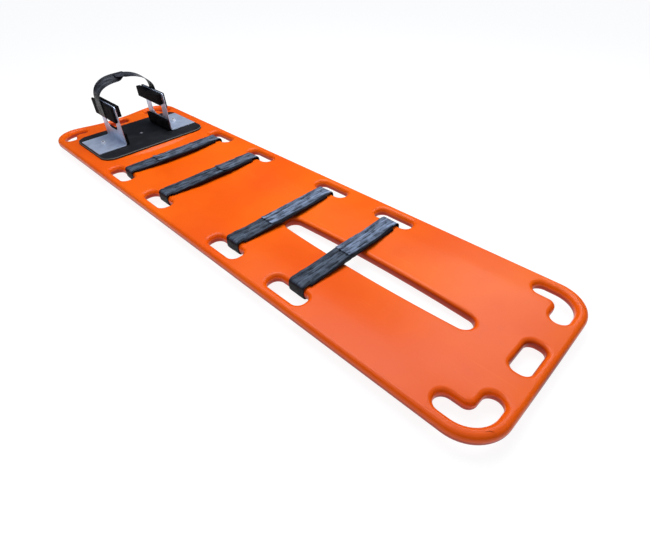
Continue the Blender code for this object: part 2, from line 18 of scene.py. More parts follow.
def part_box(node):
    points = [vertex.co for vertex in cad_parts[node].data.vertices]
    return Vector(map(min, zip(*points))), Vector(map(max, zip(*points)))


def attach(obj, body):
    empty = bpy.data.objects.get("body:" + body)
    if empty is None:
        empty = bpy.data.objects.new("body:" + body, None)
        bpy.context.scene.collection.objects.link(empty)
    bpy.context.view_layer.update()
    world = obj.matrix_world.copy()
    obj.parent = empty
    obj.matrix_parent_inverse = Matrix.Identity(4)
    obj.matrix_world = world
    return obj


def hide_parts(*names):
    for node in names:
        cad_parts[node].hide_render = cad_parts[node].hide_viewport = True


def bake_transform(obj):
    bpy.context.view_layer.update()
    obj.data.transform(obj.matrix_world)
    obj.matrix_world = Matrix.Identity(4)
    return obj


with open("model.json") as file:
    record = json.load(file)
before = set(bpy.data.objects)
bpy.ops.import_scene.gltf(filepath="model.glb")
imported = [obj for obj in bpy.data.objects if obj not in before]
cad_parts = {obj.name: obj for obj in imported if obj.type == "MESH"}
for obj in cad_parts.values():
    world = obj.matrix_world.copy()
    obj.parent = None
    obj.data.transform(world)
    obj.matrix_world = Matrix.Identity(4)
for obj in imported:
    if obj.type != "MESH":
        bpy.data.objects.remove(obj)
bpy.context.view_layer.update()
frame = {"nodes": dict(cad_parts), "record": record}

LOG = logging.getLogger("spine_board")
Triple = tuple[float, float, float]
Pair = tuple[float, float]
# Takes a place along and across a strip and the normal there, and returns how far the place moves.
Ruffle = Callable[[float, float, Vector], Vector]

X, Y, Z = range(3)
TINY = 1e-6  # a length under this counts as none
NEAR = 1e-5  # places closer than this count as one


def spans(edge: bmesh.types.BMEdge, axis: int) -> float:
    """How far an edge reaches along an axis."""
    return abs(edge.verts[0].co[axis] - edge.verts[1].co[axis])


def eased(share: float) -> float:
    """A share held between 0 and 1, eased in and out."""
    share = min(max(share, 0.0), 1.0)
    return share * share * (3 - 2 * share)


# ---- frame ----------------------------------------------------------------------------------
@dataclass(frozen=True)
class Box:
    """The box of a CAD node at rest.

    Attributes:
        low: Its lowest corner.
        high: Its highest corner.
    """

    low: Vector
    high: Vector

    @classmethod
    def of(cls, node: str) -> "Box":
        """The box of the named node."""
        low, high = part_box(node)
        return cls(Vector(low), Vector(high))

    @property
    def mid(self) -> Vector:
        """The box's centre."""
        return (self.low + self.high) / 2

    @property
    def size(self) -> Vector:
        """The box's three sides."""
        return self.high - self.low


class Side(Enum):
    """The two sides of the board, seen from the foot end."""

    LEFT = -1
    RIGHT = 1

    @property
    def word(self) -> str:
        """The ending of the side's node names."""
        return self.name.lower()

    @property
    def body(self) -> str:
        """The body of the side's bracket."""
        return "head_bracket_" + self.word


class Pick(Enum):
    """What an edit-mode selection is made of."""

    VERTS = "VERT"
    EDGES = "EDGE"
    FACES = "FACE"


# ---- edit-mode modelling --------------------------------------------------------------------
def clear_selection() -> None:
    """Leave edit mode and deselect every object."""
    if bpy.context.mode != "OBJECT":
        bpy.ops.object.mode_set(mode="OBJECT")
    bpy.ops.object.select_all(action="DESELECT")


class Bench:
    """One mesh object while it is being modelled.

    Attributes:
        obj: The object on the bench.
    """

    def __init__(self, obj: bpy.types.Object) -> None:
        """Put an object on the bench."""
        self.obj = obj

    @classmethod
    def cube(cls, name: str, low: Sequence[float], high: Sequence[float]) -> "Bench":
        """Add a cube primitive between two corners.

        Args:
            name: The object's name.
            low: The lowest corner.
            high: The highest corner.

        Returns:
            The bench that holds it.
        """
        low, high = Vector(low), Vector(high)
        clear_selection()
        bpy.ops.mesh.primitive_cube_add(size=1.0, location=(low + high) / 2, scale=high - low)
        return cls._added(name)

    @classmethod
    def plane(cls, name: str, centre: Sequence[float], size: float) -> "Bench":
        """Add a level square plane primitive.

        Args:
            name: The object's name.
            centre: The plane's middle.
            size: The length of its side.

        Returns:
            The bench that holds it.
        """
        clear_selection()
        bpy.ops.mesh.primitive_plane_add(size=size, location=centre)
        return cls._added(name)

    @classmethod
    def _added(cls, name: str) -> "Bench":
        """Name the primitive just added and put its place into its mesh.

        Args:
            name: The object's name.

        Returns:
            The bench that holds it.
        """
        obj = bpy.context.object
        obj.name = obj.data.name = name
        bpy.ops.object.transform_apply(location=True, rotation=True, scale=True)
        return cls(obj)

    def edit(self) -> None:
        """Make this the active object, in edit mode."""
        if bpy.context.mode == "EDIT_MESH" and bpy.context.object == self.obj:
            return
        clear_selection()
        bpy.context.view_layer.objects.active = self.obj
        self.obj.select_set(True)
        bpy.ops.object.mode_set(mode="EDIT")

    def pick(self, kind: Pick, test: Optional[Callable[[object], bool]] = None) -> "Bench":
        """Select the vertices, edges or faces that pass a test, or all of them.

        Args:
            kind: What is selected.
            test: Takes the bmesh item and says whether it is selected.

        Returns:
            This bench.
        """
        self.edit()
        bpy.ops.mesh.select_mode(type=kind.value)
        bpy.ops.mesh.select_all(action="DESELECT")
        bm = bmesh.from_edit_mesh(self.obj.data)
        items = {Pick.VERTS: bm.verts, Pick.EDGES: bm.edges, Pick.FACES: bm.faces}[kind]
        for item in items:
            if test is None or test(item):
                item.select_set(True)
        bm.select_flush_mode()
        bmesh.update_edit_mesh(self.obj.data)
        return self

    def bevel(self, width: float, segments: int, clamp: bool = True) -> "Bench":
        """Bevel the selected edges with a round profile."""
        bpy.ops.mesh.bevel(offset=width, segments=segments, profile=0.5, affect="EDGES", clamp_overlap=clamp)
        return self

    def slice(self, point: Sequence[float], normal: Sequence[float]) -> "Bench":
        """Cut new edges where a plane crosses the mesh.

        Args:
            point: A point of the plane.
            normal: The plane's normal.

        Returns:
            This bench.
        """
        self.pick(Pick.FACES)
        bpy.ops.mesh.bisect(plane_co=point, plane_no=normal)
        return self

    def extrude(self, step: Sequence[float]) -> "Bench":
        """Extrude the selection by a step."""
        bpy.ops.mesh.extrude_region_move(TRANSFORM_OT_translate={"value": tuple(step)})
        return self

    def spin(self, centre: Sequence[float], axis: Sequence[float], degrees: float, steps: int) -> "Bench":
        """Spin the selection by the right-hand rule, drawing it out; the operator turns the other way."""
        bpy.ops.mesh.spin(steps=steps, angle=-math.radians(degrees), center=centre, axis=axis)
        return self

    def move(self, where: Callable[[Vector], Vector]) -> "Bench":
        """Move every vertex.

        Args:
            where: Takes a vertex's place and returns its new one.

        Returns:
            This bench.
        """
        clear_selection()
        for vert in self.obj.data.vertices:
            vert.co = where(vert.co.copy())
        self.obj.data.update()
        return self

    def copy(self, name: str, mirror: Triple = (1, 1, 1), shift: Triple = (0, 0, 0)) -> "Bench":
        """Copy the object with its own mesh, mirrored about the frame's planes and moved.

        Args:
            name: The copy's name.
            mirror: The factor along each axis, 1 or -1.
            shift: How far the copy is moved after that.

        Returns:
            The bench that holds the copy.
        """
        clear_selection()
        twin = self.obj.copy()
        twin.data = self.obj.data.copy()
        twin.name = twin.data.name = name
        bpy.context.scene.collection.objects.link(twin)
        twin.data.transform(Matrix.Translation(Vector(shift)) @ Matrix.Diagonal((*mirror, 1)))
        if math.prod(mirror) < 0:
            twin.data.flip_normals()
        return Bench(twin)

    def join(self, others: Sequence["Bench"]) -> "Bench":
        """Join other objects into this one.

        Args:
            others: The benches that hold them.

        Returns:
            This bench.
        """
        clear_selection()
        for other in others:
            other.obj.select_set(True)
        self.obj.select_set(True)
        bpy.context.view_layer.objects.active = self.obj
        bpy.ops.object.join()
        return self

    def modifier(self, kind: str, **settings: object) -> "Bench":
        """Add a modifier and apply it at once.

        Args:
            kind: The modifier's type.
            settings: Its settings, by name.

        Returns:
            This bench.
        """
        clear_selection()
        step = self.obj.modifiers.new(kind.lower(), kind)
        for key, value in settings.items():
            setattr(step, key, value)
        bpy.context.view_layer.objects.active = self.obj
        self.obj.select_set(True)
        bpy.ops.object.modifier_apply(modifier=step.name)
        return self

    def boolean(self, tool: "Bench", operation: str) -> "Bench":
        """Cut away or add a tool shape, which is used up.

        Args:
            tool: The bench that holds the tool shape.
            operation: DIFFERENCE or UNION.

        Returns:
            This bench.
        """
        self.modifier("BOOLEAN", operation=operation, object=tool.obj, solver="EXACT")
        bpy.data.objects.remove(tool.obj)
        return self

    def smooth(self, degrees: float, weighted: bool = False) -> "Bench":
        """Shade the object smooth.

        Args:
            degrees: Edges sharper than this stay sharp.
            weighted: Whether the normals follow the larger faces, so that these look flat.

        Returns:
            This bench.
        """
        clear_selection()
        bpy.context.view_layer.objects.active = self.obj
        self.obj.select_set(True)
        bpy.ops.object.shade_smooth_by_angle(angle=math.radians(degrees))
        if weighted:
            self.modifier("WEIGHTED_NORMAL", mode="FACE_AREA", weight=60, keep_sharp=True)
        return self


def rounded_bar(name: str, low: Sequence[float], high: Sequence[float], corner: float,
                steps: int = 8) -> Bench:
    """Make an upright bar with its four upright edges rounded.

    Args:
        name: The object's name.
        low: The lowest corner.
        high: The highest corner.
        corner: The radius of the rounding.
        steps: How many faces each rounding has.

    Returns:
        The bench that holds the bar.
    """
    bar = Bench.cube(name, low, high)
    bar.pick(Pick.EDGES, lambda e: spans(e, Z) > TINY)
    return bar.bevel(corner, steps)


# ---- board ----------------------------------------------------------------------------------
@dataclass
class Board:
    """The moulded board: its outline, holes, rounded rims, dish, head seat and runners.

    The holes' corners and the rims are slightly rounder here than in the CAD.
    """

    body: str = "board"
    corner: float = 0.085
    rim: float = 0.0112
    thickness: float = 0.028
    dish: float = 0.008
    dish_start: float = 0.030
    dish_end: float = 0.170
    hole: Pair = (0.043, 0.116)
    hole_corner: float = 0.0185
    rail: float = 0.0255
    end_hole: Pair = (0.091, 0.042)
    end_hole_corner: float = 0.0175
    end_rail: float = 0.025
    handle: float = 0.040
    arm_across: float = 0.0165
    arm_foot: float = 0.023
    arm_head: float = 0.002
    slot_setback: float = 0.165
    slot_length: float = 0.570
    slot_ends: float = 0.043
    slot_middle: float = 0.062
    seat_rim: float = 0.002
    seat_ramp: float = 0.016
    runner_width: float = 0.032
    runner_spacing: float = 0.230
    runner_inset: float = 0.190
    runner_gap: float = 0.006
    runner_sink: float = 0.0025
    runner_edge: float = 0.003
    runner_ends: float = 0.98
    cutter_reach: float = 0.010
    almost_half: float = 0.995
    outline_steps: int = 16
    bend_steps: int = 12
    end_steps: int = 8
    rim_steps: int = 6
    slot_parts: int = 13
    dish_parts: int = 21
    ramp_parts: int = 6

    def __post_init__(self) -> None:
        """Read the board's box and the hand holes' places from the frame."""
        self.box = Box.of("board_shell")
        self.half_x, self.half_y = self.box.high.x, self.box.high.y
        self.top = self.box.high.z
        self.under = self.top - self.thickness
        self.hole_x = self.half_x - self.rail - self.hole[0] / 2
        openings = frame["record"]["physics"]["openings"]
        boxes = [o["box_m"] for o in openings if o["name"].endswith("hand_hole_right")]
        self.rows = sorted((low[1] + high[1]) / 2 for low, high in boxes)
        self.plate = Box.of("base_plate")

    def blank(self) -> Bench:
        """Make the board before its holes, sliced through their middles so that they cut cleanly.

        Returns:
            The bench that holds it.
        """
        low, high = (-self.half_x, -self.half_y, self.under), (self.half_x, self.half_y, self.top)
        blank = rounded_bar("board", low, high, self.corner, self.outline_steps)
        for x in (-self.hole_x, 0.0, self.hole_x):
            blank.slice((x, 0, 0), (1, 0, 0))
        return blank

    def tall(self, x: Pair, y: Pair) -> tuple[Triple, Triple]:
        """Two corners of a cutter that runs past both faces of the board."""
        past = self.cutter_reach
        return (x[0], y[0], self.under - past), (x[1], y[1], self.top + past)

    def corner_handle(self, arm_along: float) -> Bench:
        """Make a cutter for the head-right corner handle: an arm, a spun bend and a second arm.

        Args:
            arm_along: The length of the first arm's straight part, along the board.

        Returns:
            The bench that holds the cutter.
        """
        cap = self.handle / 2
        bend_x, bend_y = self.half_x - self.corner, self.half_y - self.corner
        middle = bend_x + self.corner - self.end_rail - cap
        end_x, end_y = bend_x - self.arm_across - cap, bend_y - arm_along - cap
        arm = Bench.cube("handle", *self.tall((middle - cap, middle + cap), (end_y, bend_y)))
        arm.pick(Pick.FACES, lambda f: f.normal.y > 0.9)
        arm.spin((bend_x, bend_y, 0), (0, 0, 1), 90, self.bend_steps)
        arm.extrude((-self.arm_across - cap, 0, 0))
        arm.pick(Pick.EDGES, lambda e: spans(e, Z) > TINY and any(
            abs(v.co.y - end_y) < NEAR or abs(v.co.x - end_x) < NEAR for v in e.verts))
        return arm.bevel(cap * self.almost_half, self.end_steps)

    def slot(self) -> Bench:
        """Make a cutter for the long centre slot: round ends and bowed sides.

        Returns:
            The bench that holds the cutter.
        """
        foot = self.slot_setback - self.half_y
        half = self.slot_ends / 2
        slot = Bench.cube("slot", *self.tall((-half, half), (foot, foot + self.slot_length)))
        for i in range(1, self.slot_parts):
            slot.slice((0, foot + self.slot_length * i / self.slot_parts, 0), (0, 1, 0))
        middle = foot + self.slot_length / 2

        def bowed(co: Vector) -> Vector:
            """Widen the slot towards its middle."""
            along = (co.y - middle) / (self.slot_length / 2)
            co.x += math.copysign((self.slot_middle - self.slot_ends) / 2 * (1 - along ** 2), co.x)
            return co

        slot.move(bowed)
        ends = (foot, foot + self.slot_length)
        slot.pick(Pick.EDGES, lambda e: spans(e, Z) > TINY and any(
            abs(e.verts[0].co.y - end) < NEAR for end in ends))
        return slot.bevel(half * self.almost_half, self.end_steps)

    def cutters(self) -> Bench:
        """Make all the holes' cutters, joined into one tool.

        Returns:
            The bench that holds the tool.
        """
        slot = self.slot()
        half_x, half_y = self.hole[0] / 2, self.hole[1] / 2
        first = rounded_bar("hand_hole", *self.tall((self.hole_x - half_x, self.hole_x + half_x),
                                                    (-half_y, half_y)), self.hole_corner)
        tools = [first.copy("hand_hole", (side.value, 1, 1), (0, y, 0)) for side in Side for y in self.rows]
        bpy.data.objects.remove(first.obj)
        wide, deep = self.end_hole
        outer = self.half_y - self.end_rail
        end = rounded_bar("end_hole", *self.tall((-wide / 2, wide / 2), (outer - deep, outer)),
                          self.end_hole_corner)
        tools += [end, end.copy("end_hole", (1, -1, 1))]
        for way, arm in ((1, self.arm_head), (-1, self.arm_foot)):
            handle = self.corner_handle(arm)
            tools += [handle.copy("handle", (side.value, way, 1)) for side in Side]
            bpy.data.objects.remove(handle.obj)
        return slot.join(tools)

    def sunk(self, x: float) -> float:
        """How far the dish lowers the board at a distance from its centreline."""
        return self.dish * (1 - eased((abs(x) - self.dish_start) / (self.dish_end - self.dish_start)))

    def seat(self, y: float) -> float:
        """How much of the dish the head seat fills at a place along the board, 0 to 1."""
        past = abs(y - self.plate.mid.y) - self.plate.size.y / 2 - self.seat_rim
        return 1 - eased(past / self.seat_ramp)

    def hollowed(self, co: Vector) -> Vector:
        """Move a vertex of the flat board to its place on the dished one.

        Args:
            co: The vertex's place.

        Returns:
            Its new place.
        """
        drop = self.sunk(co.x)
        if co.z > self.top - self.thickness / 2:
            drop *= 1 - self.seat(co.y)
        co.z -= drop
        return co

    def slice_for_dish(self, board: Bench) -> None:
        """Cut lines along the dish and across the seat's ramps, for a smooth bend there.

        Args:
            board: The bench that holds the flat board.
        """
        for i in range(1, self.dish_parts + 1):
            x = self.dish_end * i / self.dish_parts
            for way in (-1, 1):
                board.slice((way * x, 0, 0), (1, 0, 0))
        half = self.plate.size.y / 2 + self.seat_rim
        for i in range(self.ramp_parts + 1):
            for way in (-1, 1):
                y = self.plate.mid.y + way * (half + self.seat_ramp * i / self.ramp_parts)
                board.slice((0, y, 0), (0, 1, 0))

    def runners(self) -> Bench:
        """Make the ten moulded runners on the underside, joined into one tool.

        Returns:
            The bench that holds the tool.
        """
        clear = self.hole[1] / 2 + self.runner_gap
        starts = [self.runner_inset - self.half_y] + [y + clear for y in self.rows]
        ends = [y - clear for y in self.rows] + [self.half_y - self.runner_inset]
        half = self.runner_width / 2
        bars = []
        for side in Side:
            x = side.value * self.runner_spacing / 2
            top = self.under - self.sunk(abs(x) - half) + self.runner_sink
            for start, end in zip(starts, ends):
                bar = rounded_bar("runner", (x - half, start, 0), (x + half, end, top),
                                  half * self.runner_ends)
                bar.pick(Pick.EDGES, lambda e: max(v.co.z for v in e.verts) < TINY)
                bars.append(bar.bevel(self.runner_edge, 3))
        return bars[0].join(bars[1:])

    def build(self) -> Bench:
        """Model the whole board.

        Returns:
            The bench that holds the finished mesh.
        """
        board = self.blank().boolean(self.cutters(), "DIFFERENCE")
        board.pick(Pick.EDGES, self.is_rim)
        board.bevel(self.rim, self.rim_steps, clamp=False)
        self.slice_for_dish(board)
        board.move(self.hollowed)
        board.boolean(self.runners(), "UNION")
        return board.smooth(40, weighted=True)

    def place(self, finishes: "Wardrobe") -> None:
        """Build the board and put it on its body."""
        place_piece(self.build(), self.body, "board_shell", finishes.shell)

    @staticmethod
    def is_rim(edge: bmesh.types.BMEdge) -> bool:
        """Tell whether an edge joins a level face to an upright one.

        Args:
            edge: The edge.

        Returns:
            True for an edge of a rim.
        """
        if len(edge.link_faces) != 2:
            return False
        levels = sorted(abs(face.normal.z) for face in edge.link_faces)
        return levels[0] < 0.1 and levels[1] > 0.9


# ---- webbing --------------------------------------------------------------------------------
class Strip(Bench):
    """A webbing strip laid out edge by edge along its path, across the board's width.

    Attributes:
        width: The strip's width along the board.
        across: How many faces the width is divided into.
    """

    width: float
    across: int

    @classmethod
    def start(cls, name: str, at: Pair, y: float, width: float, across: int = 8) -> "Strip":
        """Lay the strip's first edge.

        Args:
            name: The object's name.
            at: Where the edge lies in X and Z.
            y: The strip's middle along the board.
            width: The strip's width.
            across: How many faces the width is divided into.

        Returns:
            The strip, with its end edge selected.
        """
        strip = cls.plane(name, (at[0] + width / 2, y, at[1]), width)
        strip.width, strip.across = width, across
        strip.pick(Pick.VERTS, lambda v: v.co.x > at[0] + width / 2)
        bpy.ops.mesh.delete(type="VERT")
        strip.pick(Pick.EDGES)
        bpy.ops.mesh.subdivide(number_cuts=across - 1)
        return strip

    def run(self, x: float, z: float, pieces: int) -> "Strip":
        """Lay a straight stretch in equal pieces.

        Args:
            x: How far it goes across the board.
            z: How far it goes up.
            pieces: How many faces it has along.

        Returns:
            This strip.
        """
        for _ in range(pieces):
            self.extrude((x / pieces, 0, z / pieces))
        return self

    def turn(self, centre: Pair, degrees: float, steps: int) -> "Strip":
        """Lay a round stretch about a centre in X and Z, by the right-hand rule about +Y."""
        return self.spin((centre[0], 0, centre[1]), (0, 1, 0), degrees, steps)

    def rows(self) -> tuple[list[list[int]], list[float]]:
        """Walk the strip from its first edge.

        Returns:
            The vertices of each row in order, and each row's distance along the strip.
        """
        clear_selection()
        bm = bmesh.new()
        bm.from_mesh(self.obj.data)
        bm.verts.ensure_lookup_table()
        row = list(range(self.across + 1))
        seen, rows, lengths = set(row), [row], [0.0]
        while True:
            ahead = {e.other_vert(bm.verts[i]).index for i in row for e in bm.verts[i].link_edges} - seen
            if not ahead:
                break
            step = self.centre(bm, ahead) - self.centre(bm, row)
            row = sorted(ahead)
            seen.update(row)
            rows.append(row)
            lengths.append(lengths[-1] + step.length)
        bm.free()
        return rows, lengths

    @staticmethod
    def centre(bm: bmesh.types.BMesh, row: Sequence[int]) -> Vector:
        """The middle of a row of vertices."""
        return sum((bm.verts[i].co for i in row), Vector()) / len(row)

    def finish_cloth(self, thickness: float, y: float, ruffle: Ruffle,
                     subdivide: bool = True) -> float:
        """Give the strip a cloth map, its creases and its thickness.

        Args:
            thickness: The webbing's thickness.
            y: The strip's middle along the board.
            ruffle: Takes the distance along, the place across from -1 to 1 and the surface's normal,
                and returns how far that point moves.
            subdivide: Whether a subdivision surface rounds it off.

        Returns:
            The strip's flat length.
        """
        rows, lengths = self.rows()
        place = {i: (s, (self.obj.data.vertices[i].co.y - y) / (self.width / 2))
                 for row, s in zip(rows, lengths) for i in row}
        cloth = self.obj.data.uv_layers.new(name="cloth")
        for loop in self.obj.data.loops:
            s, t = place[loop.vertex_index]
            cloth.data[loop.index].uv = (t * self.width / 2, s)
        normals = {v.index: v.normal.copy() for v in self.obj.data.vertices}
        for index, (s, t) in place.items():
            self.obj.data.vertices[index].co += ruffle(s, t, normals[index])
        self.modifier("SOLIDIFY", thickness=thickness, offset=0.0, use_even_offset=False)
        if subdivide:
            self.modifier("SUBSURF", levels=1, render_levels=1)
        self.smooth(60)
        return lengths[-1]


@dataclass(frozen=True)
class Grain:
    """One kind of smooth unevenness along a strip.

    Attributes:
        share: How strong it is.
        length: Its grain along the strip.
        width: Its grain across, in half widths of the strip.
        shift: What it adds to the strip's seed.
    """

    share: float
    length: float
    width: float = 1.0
    shift: float = 0.0

    def at(self, along: float, across: float, seed: float) -> float:
        """The unevenness at a place of the strip with the given seed."""
        place = Vector((along / self.length, across / self.width, seed + self.shift))
        return self.share * noise.noise(place)


@dataclass
class BodyBelt:
    """A belt through one row of hand holes: webbing, its closing flap and a folded pile.

    The flap isn't in the CAD. It rides on the belt's body.

    Attributes:
        name: The first word of the belt's node names.
        seed: Where its unevenness is read from.
        flap_end: How far across the board the flap's free end lies.
        dull: Whether its flap takes the darker copy of the webbing, with less painted sheen.
    """

    name: str
    seed: float
    flap_end: float
    dull: bool = False
    thickness: float = 0.0016
    gap: float = 0.0002
    bend: float = 0.0095
    layers: int = 3
    hook: float = 0.0313
    flap_foot: float = 0.026
    flap_skew: float = 0.0006
    flap_flare: float = 0.00024
    flap_width: float = 0.0475
    flap_thickness: float = 0.0011
    flap_face: float = 0.0048
    curl: float = 0.0014
    curl_length: float = 0.018
    crease: float = 0.0014
    sway: float = 0.0024
    pile_sway: float = 0.0016
    creases: Sequence[Grain] = (
        Grain(0.6, 0.022, 0.8), Grain(0.5, 0.060, 1.6, shift=3), Grain(0.5, 0.012, 0.35, shift=9))
    wander: Grain = Grain(1.0, 0.090, shift=5)
    fray: Grain = Grain(0.55, 0.020, shift=7)
    pile_wander: Grain = Grain(1.0, 0.070, shift=11)
    pile_pucker: Grain = Grain(0.9, 0.011, shift=13)

    def __post_init__(self) -> None:
        """Read the belt's and its pile's boxes from the frame."""
        self.box = Box.of(self.name + "_belt")
        self.pile = Box.of(self.name + "_belt_fold")
        self.width = self.box.size.y
        self.body = self.name + "_belt_set"

    def crumple(self, s: float, t: float, normal: Vector) -> Vector:
        """Used webbing's unevenness: creases, a wandering middle and frayed edges.

        Args:
            s: The distance along the strip.
            t: The place across it, from -1 to 1.
            normal: The surface's normal there.

        Returns:
            How far that point moves.
        """
        lift = self.crease * sum(grain.at(s, t, self.seed) for grain in self.creases)
        drift = self.wander.at(s, 0.0, self.seed)
        edge = t * abs(t) * self.fray.at(s, math.copysign(1, t), self.seed)
        return normal * lift + Vector((0, self.sway * (drift + edge), 0))

    def lie_askew(self, s: float, t: float, normal: Vector) -> Vector:
        """How the pile's layers lie askew over each other, and pucker at their edges.

        Args:
            s: The distance along the strip.
            t: The place across it, from -1 to 1.
            normal: The surface's normal there, which these moves don't follow.

        Returns:
            How far that point moves.
        """
        drift = self.pile_wander.at(s, 0.0, self.seed)
        pucker = t * abs(t) * self.pile_pucker.at(s, math.copysign(1, t), self.seed)
        return Vector((0, self.pile_sway * (drift + pucker), 0))

    def build_loop(self) -> tuple[Bench, float]:
        """Lay the webbing from under the board, up a hand hole, across, down and under again.

        Returns:
            The belt and its flat length.
        """
        t, r = self.thickness, self.bend
        low, high = self.box.low.z + t / 2, self.pile.high.z + self.gap + t / 2
        right, left = self.box.high.x - t / 2, self.box.low.x + t / 2
        y = self.box.mid.y
        strip = Strip.start(self.name + "_belt_webbing", (left + self.hook, low), y, self.width)
        strip.run(r - self.hook, 0, 5)
        strip.turn((left + r, low + r), 90, 6)
        strip.run(0, high - low - 2 * r, 3)
        strip.turn((left + r, high - r), 90, 8)
        strip.run(right - left - 2 * r, 0, 72)
        strip.turn((right - r, high - r), 90, 8)
        strip.run(0, low + 2 * r - high, 3)
        strip.turn((right - r, low + r), 90, 6)
        strip.run(r - self.hook, 0, 5)
        return strip, strip.finish_cloth(t, y, self.crumple)

    def build_flap(self) -> tuple[Bench, float]:
        """Lay the closing flap from inside the right hand hole over the belt's top run.

        Returns:
            The flap and its flat length.
        """
        thick, r = self.flap_thickness, self.bend + self.thickness + self.gap * 2
        high = self.pile.high.z + self.gap * 2 + self.thickness + thick / 2
        right = self.box.high.x + self.gap * 2 + thick / 2
        y = self.box.mid.y + self.flap_skew
        strip = Strip.start(self.name + "_belt_flap", (right, self.flap_foot), y, self.flap_width)
        strip.run(0, high - r - self.flap_foot, 3)
        strip.turn((right - r, high - r), -90, 8)
        reach = right - r - self.flap_end
        strip.run(-reach, 0, max(int(reach / self.flap_face), 4))
        end = high - self.flap_foot + reach

        def curled(s: float, t: float, normal: Vector) -> Vector:
            """Crumple with the belt below, and lift the free end a little."""
            lift = self.curl * max(1 - (end - s) / self.curl_length, 0.0) ** 2
            return self.crumple(s, t, normal) + Vector((0.0, self.flap_flare * t, lift))

        return strip, strip.finish_cloth(thick, y, curled)

    def build_pile(self) -> tuple[Bench, float]:
        """Fold the spare webbing to and fro under the belt's top run.

        Returns:
            The pile and its flat length.
        """
        t = (self.pile.size.z - self.gap * 4) / self.layers
        pitch = t + self.gap
        low = self.pile.low.z + self.gap + t / 2
        left, right = self.pile.low.x + pitch, self.pile.high.x - pitch
        y = self.pile.mid.y
        strip = Strip.start(self.name + "_belt_pile", (left, low), y, self.width, 6)
        way, level, at = 1, low, left
        for layer in range(self.layers):
            stop = right if way > 0 else left
            strip.run(stop - at, 0, 30)
            if layer < self.layers - 1:
                strip.turn((stop, level + pitch / 2), -180 * way, 6)
            way, level, at = -way, level + pitch, stop
        return strip, strip.finish_cloth(t, y, self.lie_askew, subdivide=False)

    def place(self, finishes: "Wardrobe") -> None:
        """Build the belt, its flap and its pile, and put them on the belt's body.

        Args:
            finishes: The materials.
        """
        loop, length = self.build_loop()
        piece = place_piece(loop, self.body, self.name + "_belt", finishes.belt)
        flap, length = self.build_flap()
        # The chest and hip flaps take the copy with less painted sheen.
        finish = finishes.dull_flap if self.dull else finishes.flap
        piece = ride_piece(flap, self.body, finish)
        pile, length = self.build_pile()
        piece = place_piece(pile, self.body, self.name + "_belt_fold", finishes.pile)


# ---- head immobiliser -----------------------------------------------------------------------
@dataclass
class ForeheadStrap:
    """One half of the forehead strap: webbing on a bracket's outer pad that arches to the crown.

    Attributes:
        side: Which side's half.
        fullness: How square its arch is; 2 is an ellipse.
        twist: How steeply its width leans where it nears the crown.
    """

    side: Side
    fullness: float
    twist: float
    thickness: float = 0.0017
    flat_share: float = 0.30
    seed: float = 2.0
    bow: float = 0.0010
    sway: float = 0.0012
    bowing: Grain = Grain(1.0, 0.050, 2.0)
    wander: Grain = Grain(1.0, 0.080, shift=4)

    def __post_init__(self) -> None:
        """Read the strap half's box from the frame."""
        self.box = Box.of("forehead_strap_" + self.side.word)
        self.bracket = Box.of("bracket_" + self.side.word)

    def build(self) -> tuple[Bench, float]:
        """Lay the half up its pad, round the arch and past the crown.

        Returns:
            The strap half and its flat length.
        """
        way = self.side.value
        t = self.thickness
        out = max(abs(self.box.low.x), abs(self.box.high.x)) - t / 2
        lap = min(abs(self.box.low.x), abs(self.box.high.x))
        crown, foot = self.box.high.z - t / 2, self.box.low.z
        spring = self.bracket.high.z
        rise = crown - spring
        inner = out - rise
        y = self.box.mid.y
        strip = Strip.start("forehead_webbing_" + self.side.word, (way * out, foot), y, self.box.size.y)
        strip.run(0, spring - foot, 8)
        strip.turn((way * inner, spring), -90 * way, 18)
        strip.run(-way * (inner + lap), 0, 8)
        shoulder = inner * self.flat_share

        def rounded(co: Vector) -> Vector:
            """Draw the quarter turn out to a full arch that levels off at the crown.

            Args:
                co: A vertex's place.

            Returns:
                Its new place.
            """
            if co.z <= spring + TINY:
                return co
            reach = way * co.x
            if reach < inner + TINY:
                co.x = way * (-lap + (reach + lap) * (shoulder + lap) / (inner + lap))
            else:
                share = (reach - inner) / rise
                co.x = way * (shoulder + share * (out - shoulder))
                co.z = spring + rise * max(1 - share ** self.fullness, 0.0) ** (1 / self.fullness)
            climb = (co.z - spring) / rise
            lean = climb * min(max(reach / (2 * lap), 0.0), 1.0)
            co.z += lean * (self.twist * (co.y - y) - abs(self.twist) * self.box.size.y / 2)
            return co

        strip.move(rounded)
        return strip, strip.finish_cloth(t, y, self.slack)

    def slack(self, s: float, t: float, normal: Vector) -> Vector:
        """How the free webbing bows and wanders between its ends."""
        drift = self.sway * self.wander.at(s, 0.0, self.seed)
        return normal * (self.bow * self.bowing.at(s, t, self.seed)) + Vector((0, drift, 0))


